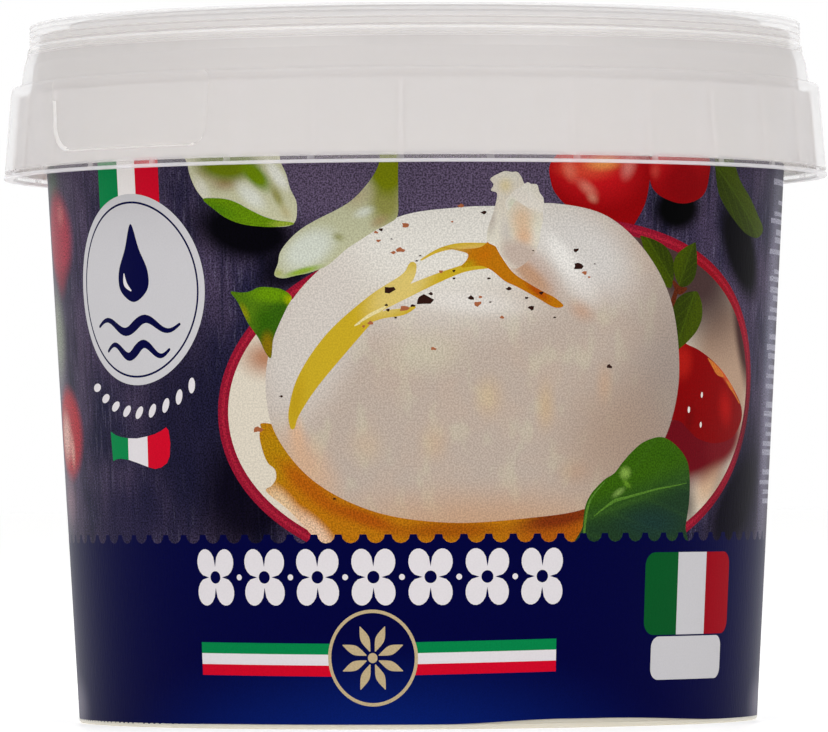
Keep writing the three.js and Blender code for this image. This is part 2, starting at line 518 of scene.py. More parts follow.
def anticlockwise(outline: Sequence[Place]) -> tuple[Place, ...]:
    """The same outline, with its corners running anticlockwise."""
    area = sum(a[0] * b[1] - b[0] * a[1] for a, b in zip(outline, [*outline[1:], outline[0]]))
    return tuple(outline) if area > 0 else tuple(reversed(outline))


def turned(point: Place, centre: Place, degrees: float) -> Place:
    """Turns a place round a centre.

    Args:
        point: The place.
        centre: What it turns round.
        degrees: How far it turns, anticlockwise.

    Returns:
        The turned place.
    """
    spin = math.radians(degrees)
    ds, dz = point[0] - centre[0], point[1] - centre[1]
    cos, sin = math.cos(spin), math.sin(spin)
    return (centre[0] + ds * cos - dz * sin, centre[1] + ds * sin + dz * cos)


def ellipse(centre: Place, half: Place, tilt: float = 0.0, steps: int = 96) -> list[Place]:
    """The outline of an ellipse.

    Args:
        centre: Its middle.
        half: Half of its width and of its height.
        tilt: Its turn in degrees.
        steps: Number of its corners.

    Returns:
        Points of the outline.
    """
    turns = [2 * math.pi * k / steps for k in range(steps)]
    ring = [(centre[0] + half[0] * math.cos(a), centre[1] + half[1] * math.sin(a)) for a in turns]
    return [turned(p, centre, tilt) for p in ring]


def block(s_low: float, z_low: float, s_high: float, z_high: float, corner: float = 0.0) -> list[Place]:
    """The outline of an upright rectangle.

    Args:
        s_low: Its left side.
        z_low: Its foot.
        s_high: Its right side.
        z_high: Its top.
        corner: Radius of its corners, or 0 for sharp ones.

    Returns:
        Points of the outline.
    """
    if corner <= 0:
        return [(s_low, z_low), (s_high, z_low), (s_high, z_high), (s_low, z_high)]
    left, right, foot, top = s_low + corner, s_high - corner, z_low + corner, z_high - corner
    path = []
    for i, (s, z) in enumerate(((right, top), (left, top), (left, foot), (right, foot))):
        for k in range(7):
            a = math.radians(90 * i + 15 * k)
            path.append((s + corner * math.cos(a), z + corner * math.sin(a)))
    return path


def stroke(spine: Sequence[tuple[float, float, float]], steps: int = 6) -> list[Place]:
    """The outline of a brush stroke that swells and thins.

    Args:
        spine: (s, z, half width) places along the stroke.
        steps: Stretches between two places.

    Returns:
        The outline, up one side and down the other.
    """
    curve = []
    count = len(spine)
    for i in range(count - 1):
        ends = [Vector(spine[min(max(i + k - 1, 0), count - 1)]) for k in range(4)]
        curve += [flow(ends, k / steps) for k in range(steps + (i == count - 2))]
    left, right = [], []
    for i, spot in enumerate(curve):
        along = (curve[min(i + 1, len(curve) - 1)] - curve[max(i - 1, 0)]).to_2d().normalized()
        side = Vector((-along.y, along.x)) * max(spot.z, FINEST_LINE)
        left.append((spot.x + side.x, spot.y + side.y))
        right.append((spot.x - side.x, spot.y - side.y))
    caps = []
    for spot, edge in ((curve[-1], right[-1]), (curve[0], left[0])):
        caps.append([turned(edge, (spot.x, spot.y), turn) for turn in (45, 90, 135)])
    return right + caps[0] + left[::-1] + caps[1]


def petals(centre: Place, radius: float, count: int, waist: float, spin: float) -> list[Place]:
    """The outline of a flower.

    Args:
        centre: Its middle.
        radius: Length of its petals.
        count: Number of petals.
        waist: Radius between two petals, as a share of their length.
        spin: Turn of the first petal, in radians.

    Returns:
        Points of the outline.
    """
    outline = []
    steps = 14 * count
    for k in range(steps):
        a = 2 * math.pi * k / steps
        r = radius * (waist + (1 - waist) * abs(math.cos(count * a / 2)) ** 0.6)
        outline.append((centre[0] + r * math.cos(a + spin), centre[1] + r * math.sin(a + spin)))
    return outline


@dataclass(frozen=True)
class Spot:
    """A soft patch of ink, such as an airbrush leaves; a few on the navy and the slate are painted reflection
    on the film.

    Attributes:
        s: Middle, along the arc.
        z: Middle, in height.
        half_s: Half of its width.
        half_z: Half of its height.
        hex_code: Its colour.
        share: How much it covers at its middle.
        tilt: Its turn in degrees.
        core: Share of its size that has no fade.
    """

    s: float
    z: float
    half_s: float
    half_z: float
    hex_code: str
    share: float = 1.0
    tilt: float = 0.0
    core: float = 0.0

    def over(self, tree: Tree, place: Node, under: Node) -> Node:
        """Lays the patch over a colour.

        Args:
            tree: The material's node tree.
            place: The coordinates of the print.
            under: The colour below.

        Returns:
            The mixed colour.
        """
        near = add(tree, "ShaderNodeMapping", {"vector_type": "TEXTURE"}, {
            "Vector": place,
            "Location": (self.s, self.z, 0),
            "Rotation": (0, 0, math.radians(self.tilt)),
            "Scale": (self.half_s, self.half_z, 1),
        })
        reach = add(tree, "ShaderNodeVectorMath", {"operation": "LENGTH"}, [near])
        cover = add(tree, "ShaderNodeMapRange", SOFT, [reach, self.core, 1.0, self.share, 0.0])
        return add(tree, "ShaderNodeMix", COLOURS, [cover, under, linear(self.hex_code)])


@dataclass(frozen=True)
class Marks:
    """Marks all over an ink, such as brush marks or a mottle.

    Attributes:
        size_mm: Width of a mark.
        stretch: Its height over its width.
        detail: How many times finer marks are added to it.
        low, high: Levels of the noise at which a mark begins and is full.
        share: How much a full mark covers.
        hex_code: Its colour.
    """

    size_mm: float
    stretch: float
    detail: float
    low: float
    high: float
    share: float
    hex_code: str


class Layer(Enum):
    """Coordinate layers of the film."""

    UNWRAP = "OFBake"
    PRINT = "print_mm"
    SHAPE = "shape_share"


@dataclass(frozen=True)
class Ink(Finish):
    """Printing ink under a clear satin varnish.

    Its colour has the grain of the printing screen, whose dots are drawn a little coarser than
    they are, so that they show. Soft patches lie over the ground and its marks.

    Attributes:
        marks: Marks all over the ground, from the lowest to the topmost.
        spots: Patches, from the lowest to the topmost.
        grain: How strongly the printing screen shows.
        grain_mm: Width of the screen's dots.
        crease_mm, crease_stretch: Width of the varnish's creases, and their height over it.
        bump_mm: Depth of the creases.
        shine: How much the varnish shines.
    """

    roughness: float = 0.34
    ior: float = 1.45
    marks: tuple[Marks, ...] = ()
    spots: tuple[Spot, ...] = ()
    grain: float = 0.1
    grain_mm: float = 0.21
    crease_mm: float = 0.3
    crease_stretch: float = 6.0
    bump_mm: float = 0.016
    shine: float = 0.02

    def place(self, tree: Tree, layer: Layer = Layer.PRINT) -> Node:
        """The coordinates of a layer."""
        return add(tree, "ShaderNodeUVMap", {"uv_map": layer.value})

    def noise(self, tree: Tree, size_mm: float, stretch: float, detail: float) -> Node:
        """Noise in the print.

        Args:
            tree: The material's node tree.
            size_mm: Width of its grains.
            stretch: Their height over their width.
            detail: How many times finer grains are added.

        Returns:
            The noise, from 0 to 1.
        """
        scale = (1 / size_mm, 1 / size_mm / stretch, 0)
        squeezed = add(tree, "ShaderNodeVectorMath", {"operation": "MULTIPLY"}, [self.place(tree), scale])
        return add(tree, "ShaderNodeTexNoise", {"noise_dimensions": "2D"},
                   {"Vector": squeezed, "Scale": 1.0, "Detail": detail})

    def ground(self, tree: Tree) -> Node:
        """The colour under the patches: one tone with its marks.

        Args:
            tree: The material's node tree.

        Returns:
            The colour.
        """
        tone = add(tree, "ShaderNodeRGB")
        tone.outputs[0].default_value = linear(self.hex_code)
        for mark in self.marks:
            noise = self.noise(tree, mark.size_mm, mark.stretch, mark.detail)
            cover = add(tree, "ShaderNodeMapRange", SOFT, [noise, mark.low, mark.high, 0.0, mark.share])
            tone = add(tree, "ShaderNodeMix", COLOURS, [cover, tone, linear(mark.hex_code)])
        return tone

    def colour(self, tree: Tree) -> Node | tuple:
        """Ground, patches and the grain of the screen, or one plain colour where it has no grain.

        Args:
            tree: The material's node tree.

        Returns:
            The colour.
        """
        if not self.grain:
            return linear(self.hex_code)
        tone = self.ground(tree)
        place = self.place(tree)
        for spot in self.spots:
            tone = spot.over(tree, place, tone)
        screen = self.noise(tree, self.grain_mm, 1.0, 1.0)
        level = add(tree, "ShaderNodeMapRange", SOFT, [screen, 0.25, 0.75, 1 - self.grain, 1 + self.grain])
        return add(tree, "ShaderNodeVectorMath", {"operation": "MULTIPLY"}, [tone, level])

    def surface(self, tree: Tree) -> dict:
        """The varnish, with its creases.

        Args:
            tree: The material's node tree.

        Returns:
            Shader inputs by name.
        """
        crease = self.noise(tree, self.crease_mm, self.crease_stretch, 2.0)
        bump = add(tree, "ShaderNodeBump", inputs={"Height": crease, "Distance": self.bump_mm * MM})
        return {"Normal": bump, "Specular IOR Level": self.shine}


@dataclass(frozen=True)
class SlateInk(Ink):
    """Slate board: cloudy grey-violet, with dark upright brush marks and fine pale streaks."""

    marks: tuple[Marks, ...] = (
        Marks(9.0, 1.6, 3.0, 0.3, 0.75, 1.0, "1b1a33"),
        Marks(0.9, 14.0, 4.0, 0.5, 0.72, 0.55, "141428"),
        Marks(0.4, 10.0, 3.0, 0.54, 0.76, 0.14, "8a84a0"),
    )


@dataclass(frozen=True)
class CheeseInk(Ink):
    """Fresh cheese: ivory, faintly mottled in pink and green."""

    marks: tuple[Marks, ...] = (
        Marks(5.0, 1.0, 2.0, 0.35, 0.7, 0.22, "b9a08c"),
        Marks(2.6, 1.8, 2.0, 0.5, 0.75, 0.25, "c4c2a6"),
    )


@dataclass(frozen=True)
class LeafInk(Ink):
    """A leaf: a light midrib and side veins, one half lighter than the other.

    Attributes:
        light_code: Colour of the lighter half.
        vein_code: Colour of the veins.
        veins: How closely the side veins follow each other.
        vein_share: How much the midrib covers.
        side_share: How much the side veins cover, as a share of that.
        lean: How far a side vein runs towards the tip on its way to the edge.
    """

    light_code: str = "496c0e"
    vein_code: str = "587c16"
    veins: float = 6.0
    vein_share: float = 0.12
    side_share: float = 0.6
    lean: float = 1.1

    def ground(self, tree: Tree) -> Node:
        """Halves, veins and midrib.

        Args:
            tree: The material's node tree.

        Returns:
            The colour.
        """
        along, off, _ = add(tree, "ShaderNodeSeparateXYZ", inputs=[self.place(tree, Layer.SHAPE)]).outputs
        across = add(tree, "ShaderNodeMath", {"operation": "ABSOLUTE"}, [off])
        half = add(tree, "ShaderNodeMapRange", SOFT, [off, -0.35, 0.5])
        halves = add(tree, "ShaderNodeMix", COLOURS, [half, linear(self.hex_code), linear(self.light_code)])
        root = add(tree, "ShaderNodeMath", {"operation": "MULTIPLY_ADD"}, [across, -self.lean, along])
        turns = add(tree, "ShaderNodeMath", {"operation": "MULTIPLY"}, [root, self.veins])
        wave = add(tree, "ShaderNodeMath", {"operation": "PINGPONG"}, [turns, 1.0])
        faint = self.vein_share * self.side_share
        side = add(tree, "ShaderNodeMapRange", SOFT, [wave, 0.0, 0.3, faint, 0.0])
        rib = add(tree, "ShaderNodeMapRange", SOFT, [across, 0.02, 0.08, self.vein_share, 0.0])
        lines = add(tree, "ShaderNodeMath", {"operation": "MAXIMUM"}, [side, rib])
        return add(tree, "ShaderNodeMix", COLOURS, [lines, halves, linear(self.vein_code)])


@dataclass(frozen=True)
class TomatoInk(Ink):
    """A tomato: bright in its middle and deep at its rim.

    Attributes:
        rim_code: Colour of its rim.
        bright: Where it is brightest, in its own coordinates.
    """

    rim_code: str = "880307"
    bright: tuple[float, float, float] = (-0.2, 0.35, 0.0)

    def ground(self, tree: Tree) -> Node:
        """Shading from the middle to the rim.

        Args:
            tree: The material's node tree.

        Returns:
            The colour.
        """
        place = self.place(tree, Layer.SHAPE)
        near = add(tree, "ShaderNodeVectorMath", {"operation": "SUBTRACT"}, [place, self.bright])
        reach = add(tree, "ShaderNodeVectorMath", {"operation": "LENGTH"}, [near])
        depth = add(tree, "ShaderNodeMapRange", SOFT, [reach, 0.35, 1.25])
        return add(tree, "ShaderNodeMix", COLOURS, [depth, linear(self.hex_code), linear(self.rim_code)])


@dataclass(frozen=True)
class Shape:
    """An outline on the film, filled with one ink.

    Attributes:
        outline: Corners of the outline.
        ink: What fills it.
        centre: Middle of its own coordinates.
        half: Its half length and half width.
        tilt: Turn of its length, in degrees.
    """

    outline: Sequence[Place]
    ink: Ink
    centre: Place = (0.0, 0.0)
    half: Place = (1.0, 1.0)
    tilt: float = 0.0

    def share(self, point: Place) -> Place:
        """A place in the shape's own coordinates, from -1 to 1."""
        s, z = turned(point, self.centre, -self.tilt)
        return ((s - self.centre[0]) / self.half[0], (z - self.centre[1]) / self.half[1])


class Inks:
    """The inks of the print. A Spot gives its middle, half its size, colour, share, tilt and core."""

    WHITE = Ink("ink_white", "d3ced1", grain=0.02)
    SOFT_WHITE = Ink("ink_soft_white", "bfbdc0", grain=0.02)
    RIBBON_WHITE = Ink("ink_ribbon_white", "e2dddb", grain=0.02)
    SMALL_PRINT = Ink("ink_small_print", "8b8999", grain=0.6)
    BACK = Ink("film_back_white", "d8d5d0", grain=0.0)
    GREEN = Ink("ink_flag_green", "047a42", grain=0.05)
    RED = Ink("ink_flag_red", "c20624", grain=0.05)
    DEEP_GREEN = Ink("ink_flag_green_deep", "064f22", grain=0.05)
    DEEP_RED = Ink("ink_flag_red_deep", "900013", grain=0.05)
    GOLD = Ink("ink_gold", "b29f7c", grain=0.08)
    PEPPER = Ink("ink_pepper", "2a1410")
    SPICE = Ink("ink_spice", "9a5a3a")
    # The navy's first spot, brighter blue low in the middle, is a painted reflection. The pale spots at its
    # two bottom corners are partly painted reflection at the grazing edge and partly wear of the film.
    NAVY = Ink("ink_navy", "010236", spots=(
        Spot(-5, -4, 44, 16, "051e6b"), Spot(-62, 2, 7.5, 5, "9a94a4", 0.34),
        Spot(62, 2, 7, 5, "9a94a4", 0.34),
    ))
    # The slate's tall pale spots at s = -63 and s = 59.5, at the sides of the front view, are painted
    # reflection of the bright surroundings at the grazing edges.
    SLATE = SlateInk("ink_slate", "43384f", grain=0.6, spots=(
        Spot(2, 66, 34, 9, "5a4d64", 0.7, 0, 0.4), Spot(-29.5, 36, 12.5, 21, "17152c", 0.9, 0, 0.25),
        Spot(-42, 24, 10, 8, "1d1a36", 0.85, 0, 0.3), Spot(-63, 42, 7, 40, "77727f", 0.4),
        Spot(59.5, 44, 5, 40, "86849a", 0.5), Spot(-37, 27, 5, 6, "171630", 0.7),
        Spot(-20.6, 28.6, 9.6, 12.5, "040210", 0.95, -30, 0.35),
        Spot(-20.5, 59.2, 10.2, 4.8, "030207", 1, -12, 0.4),
        Spot(-15.4, 54.6, 5.6, 3.6, "060510", 0.95, 20, 0.35),
        Spot(33.7, 62, 5.4, 3.7, "000001", 1, 4, 0.45), Spot(46.8, 57.4, 9.4, 4.6, "010005", 1, -50, 0.5),
        Spot(52, 29, 7, 14, "0e0920", 0.8, 0, 0.3), Spot(48.5, 26.5, 11, 5.5, "060312", 1, 40, 0.45),
        Spot(-60.5, 66.5, 6, 4, "3f5a3a", 0.6), Spot(-58.6, 59.6, 7.5, 6.8, "982f40", 0.95, -8, 0.5),
        Spot(-56.6, 62.4, 2.6, 2.4, "b46a6a", 0.6), Spot(-58.2, 54.4, 4, 3, "7c2434", 0.7),
        Spot(-62.5, 47.6, 6.5, 7.5, "8c957e", 0.6, 0, 0.2),
        Spot(-58.6, 35.6, 7.2, 6.6, "a02c35", 0.95, 0, 0.6),
        Spot(-60.5, 35.2, 4.4, 4.2, "cba79c", 0.8, 0, 0.2), Spot(-57, 33.4, 1.6, 3, "d6b4a4", 0.5),
        Spot(-60.5, 27.4, 5.5, 4.5, "8a6c78", 0.6),
    ))
    RIM = Ink("ink_plate_rim", "86122a", grain=0.3, spots=(
        Spot(40, 52, 16, 10, "86060f", 0.8, -35), Spot(50, 36, 6, 14, "540a1a", 0.85),
        Spot(43, 27, 8, 6, "740a1c", 0.7),
    ))
    RIM_GLOSS = Ink("ink_plate_rim_gloss", "981b30", grain=0.35, spots=(
        Spot(40, 52, 16, 10, "941320", 0.8, -35), Spot(50, 36, 7, 14, "6c1022", 0.9),
        Spot(43, 27, 8, 6, "801224", 0.7),
    ))
    PLATE = Ink("ink_plate", "cdc4b4", grain=0.11, spots=(
        Spot(44.5, 43, 10, 13, "a88a74", 0.95, 14, 0.4), Spot(34.5, 56.4, 21, 12, "43302f", 1, -32, 0.3),
        Spot(48.4, 47, 2.8, 9.5, "36191c", 0.95, 22, 0.35),
        Spot(41.5, 29.6, 3.6, 6, "c09c7c", 0.85, -38, 0.2), Spot(44, 29.4, 2, 5, "7a6458", 0.5, -40),
        Spot(37.4, 26.6, 2.6, 6, "43342c", 0.75, 10), Spot(38, 34.2, 13.4, 6.6, "640814", 1, 12, 0.5),
        Spot(44.6, 34.4, 5.6, 3.6, "6c1019", 1, 24, 0.45), Spot(-18.4, 44.2, 5, 3.4, "a0623a", 0.85),
        Spot(-11, 22.6, 8, 3.4, "d0a283", 0.9, -35),
    ))
    OIL = Ink("ink_oil", "a8680c", grain=0.28, spots=(
        Spot(-18, 32.6, 4, 5.5, "a2770a", 0.9, 0, 0.3), Spot(-13, 28.6, 7.5, 1.7, "a0500a", 0.85, -40, 0.2),
        Spot(-6.4, 25.1, 7, 1.4, "98450a", 0.85, -20, 0.2), Spot(4, 23.6, 9.5, 1.5, "8f4808", 0.85, 0, 0.2),
        Spot(17.5, 23.4, 8.5, 2.4, "9a480c", 0.8, 8, 0.2),
        Spot(18.5, 25.3, 9, 1.9, "70280c", 0.95, 12, 0.3),
        Spot(-16.6, 26.8, 4.6, 1.8, "cdae88", 0.95, -46, 0.2),
        Spot(-12.6, 23.5, 5.2, 1.8, "cfae92", 0.95, -44, 0.25),
    ))
    BALL = CheeseInk("ink_cheese", "ae9f93", grain=0.15, spots=(
        Spot(3, 60, 26, 17, "cfcbc3", 1, 4, 0.25), Spot(-13, 46, 8, 15, "c3bcb5", 0.9, -24, 0.3),
        Spot(20.5, 56.5, 11.5, 6.5, "c5c1bd", 0.9, -32, 0.2),
        Spot(33.5, 40, 12, 20, "8b7e77", 0.75, -6, 0.1), Spot(26, 34, 13, 12, "99806e", 0.68, 30, 0.1),
        Spot(8, 23.5, 28, 7, "b78f6e", 0.75, 0, 0.15), Spot(-13.5, 31.5, 4, 8, "cc9f78", 0.6, 40),
        Spot(-14.6, 35.4, 1.5, 4, "cfa27c", 0.6, 8), Spot(6, 50.6, 10, 2.2, "cfcac4", 0.8, -6, 0.1),
        Spot(1, 44.6, 7, 4, "c0bba2", 0.5), Spot(19.4, 53.6, 2.8, 6, "cfcac5", 0.8, 40, 0.1),
        Spot(17.4, 56.2, 5, 1.7, "dad7d2", 0.8, -52, 0.2),
        Spot(14.4, 54.2, 6.4, 2.5, "b3a095", 0.9, -48, 0.3),
        Spot(13.6, 53.6, 5.4, 1.8, "ae8668", 0.9, -42, 0.2), Spot(20, 49.6, 2.6, 1.7, "b68a6c", 0.5, -30),
        Spot(8.5, 39.5, 2.6, 3.6, "c0a173", 0.4), Spot(15.6, 38.4, 1.8, 4.4, "bf9f70", 0.45),
        Spot(23.4, 41, 1.7, 3.6, "b9977a", 0.5), Spot(2, 34, 2.6, 3.2, "bd9d78", 0.35),
        Spot(-6, 33.5, 3.2, 3.4, "bfa888", 0.35), Spot(19.5, 30.4, 3.2, 2.4, "b08a6c", 0.35),
    ))
    DRIZZLE = Ink("ink_drizzle", "b99c22", grain=0.08, spots=(
        Spot(-2, 52, 6.5, 3, "cbb56a", 0.9, 38, 0.3), Spot(5.5, 56.2, 5, 1.6, "c9a560", 0.9, 10, 0.2),
        Spot(-14.6, 39, 1.6, 5, "a8840c", 0.5, -12),
    ))
    AMBER = Ink("ink_amber", "ab680a", grain=0.16, spots=(
        Spot(4.6, 56.9, 2.2, 1.4, "ad8c38", 0.9), Spot(6, 55, 1.6, 1, "a68c10", 0.8, 10),
        Spot(8, 56.2, 1.6, 1.2, "b06408", 0.9, 30), Spot(14.4, 51.9, 2.8, 0.8, "9c4208", 0.95, -36, 0.1),
    ))
    KNOT = CheeseInk("ink_knot", "cec9bb", grain=0.12, spots=(
        Spot(10.4, 64.4, 1.3, 1.4, "cdbd90", 0.8), Spot(8.8, 60.2, 0.9, 3, "a89d94", 0.7, -6),
        Spot(12.4, 60.2, 2.1, 3, "c8a682", 0.75, 4, 0.1), Spot(12.7, 58.2, 1.7, 2, "c79c78", 0.75, 0, 0.1),
        Spot(10.5, 58.6, 1.1, 3.2, "b0a7a2", 0.65, 8), Spot(12.6, 55.9, 4, 2.2, "b3a296", 1, -30, 0.45),
    ))
    LOBE = CheeseInk("ink_knot_lobe", "d9d6cd", grain=0.12, spots=(
        Spot(12.9, 61.2, 1.9, 0.9, "cbb596", 0.6), Spot(11.2, 62.3, 0.9, 1, "bdbfa6", 0.7),
    ))
    PALE_OIL = Ink("ink_oil_pale", "d3c692")
    PEACH = Ink("ink_tomato_edge", "bd6a2c", grain=0.2)
    LIME = Ink("ink_leaf_lime", "5b7f08", grain=0.25, spots=(
        Spot(-24, 61.9, 4, 1.2, "3f6d08", 0.6, -20), Spot(-15.6, 60, 2.6, 0.8, "95a438", 0.8),
    ))
    TURNED_LEAF = Ink("ink_leaf_turned", "bab99a", grain=0.12, spots=(
        Spot(-25.4, 66.6, 2.6, 2, "9a8a60", 0.75), Spot(-23, 65.2, 3.2, 1.8, "8c754c", 0.9),
        Spot(-22.8, 67.5, 5.6, 2.9, "63720a", 1, -6, 0.45),
        Spot(-19, 65.9, 3.4, 1.5, "668008", 1, -44, 0.35),
        Spot(-16.3, 63.3, 2.4, 0.9, "87843e", 0.85, -62, 0.1),
        Spot(-15.3, 61.4, 1.6, 1, "ada274", 0.7, -50), Spot(-19.6, 63.4, 3.2, 1.5, "d0d2c8", 0.9, -40, 0.2),
        Spot(-16.2, 65.8, 3, 1, "d6d6cc", 0.95, -54, 0.3),
        Spot(-26.2, 64.4, 2.6, 1.2, "cccabc", 0.8, -58, 0.2),
    ))
    CURLED_LEAF = Ink("ink_leaf_curled", "adad8e", grain=0.14, spots=(
        Spot(-12.6, 57, 4.8, 2.8, "c0c4b8", 1, 30, 0.35), Spot(-3.4, 62.6, 3, 4.4, "7f7e34", 0.9, 6, 0.25),
        Spot(-3.2, 66.6, 3.2, 4.4, "6e760a", 1, 4, 0.5), Spot(-6.6, 63.2, 3, 2, "a69c78", 0.8, 38),
        Spot(-6, 61.3, 1.8, 0.9, "c6cac0", 0.8, 20), Spot(-4.2, 60.2, 1.8, 1, "96805a", 0.75, 30),
        Spot(-9, 58.4, 1.1, 0.8, "858655", 0.85, -20), Spot(-13.4, 54.4, 3.4, 0.6, "7f9c26", 0.95, 14, 0.2),
        Spot(-16.4, 54.2, 1, 0.8, "9aa05a", 0.9),
    ))
    LEAF = LeafInk("ink_leaf", "2f560a", grain=0.24, spots=(
        Spot(-17.2, 51.7, 4.4, 1.5, "5f8806", 0.9, -4, 0.2), Spot(-18.4, 48.8, 1.8, 2.2, "2c5606", 0.8),
        Spot(-14.9, 51, 1.3, 1, "8f9c04", 0.9, -20, 0.2), Spot(-20.9, 49.6, 0.8, 1.8, "84800c", 0.8, 24),
        Spot(-18, 45.6, 1.4, 2.4, "7c6408", 0.95, 0, 0.2),
    ))
    BIG_LEAF = LeafInk("ink_leaf_big", "1d3620", light_code="315708", vein_code="4a7426", veins=3.0,
                       grain=0.28, spots=(
        Spot(26.7, 30.3, 1.2, 1.1, "84a648", 0.8, 20, 0.1), Spot(27, 29, 1.1, 0.5, "6f9a2c", 0.6, -34),
        Spot(25.8, 28, 1.5, 0.6, "7c9c4c", 0.75, 28), Spot(33.4, 32.4, 3, 1.4, "2b5206", 0.6, -10),
        Spot(31.5, 24.2, 8, 3.2, "183230", 0.8),
    ))
    STALK = Ink("ink_stalk", "54220f", grain=0.3)
    LEAF_RIB = Ink("ink_leaf_rib", "4c7426", grain=0.25)
    SHADE_LEAF = LeafInk("ink_leaf_shaded", "2c3805", light_code="3a4803", vein_code="526a10", grain=0.26,
                         veins=4.0, vein_share=0.25)
    TOMATO = TomatoInk("ink_tomato", "bd131a", grain=0.12, spots=(
        Spot(20.4, 66.6, 5.2, 2, "cc4630", 0.9, 0, 0.2), Spot(18.2, 66.3, 1.3, 2.2, "d2705a", 0.7, 24),
        Spot(20.5, 64.2, 2.3, 1.1, "cc7866", 0.8, -36), Spot(21.2, 63, 1.2, 0.8, "c88a72", 0.6, -30),
        Spot(22.6, 67.2, 3.4, 1.3, "dd8f4e", 0.95, 4, 0.1), Spot(26, 66.8, 1.5, 2.3, "d08076", 0.75, -24),
        Spot(30, 66.4, 1.2, 1.4, "c2443a", 0.7), Spot(34.4, 65.2, 5.6, 4.2, "7c0106", 0.85, 0, 0.3),
    ))
    CUT_TOMATO = TomatoInk("ink_tomato_cut", "7d0103", rim_code="780204", grain=0.12, spots=(
        Spot(35.4, 43.6, 2.6, 3, "a31710", 0.9, 0, 0.2), Spot(44.6, 38.2, 2.4, 3.4, "a8100c", 0.8, 20),
        Spot(44.8, 41.6, 5.4, 0.7, "c0502c", 0.95, -34, 0.2), Spot(37, 36.4, 1.4, 3.2, "640204", 0.7, -20),
    ))
    GLINT = Ink("ink_glint", "d9cfca", grain=0.05)


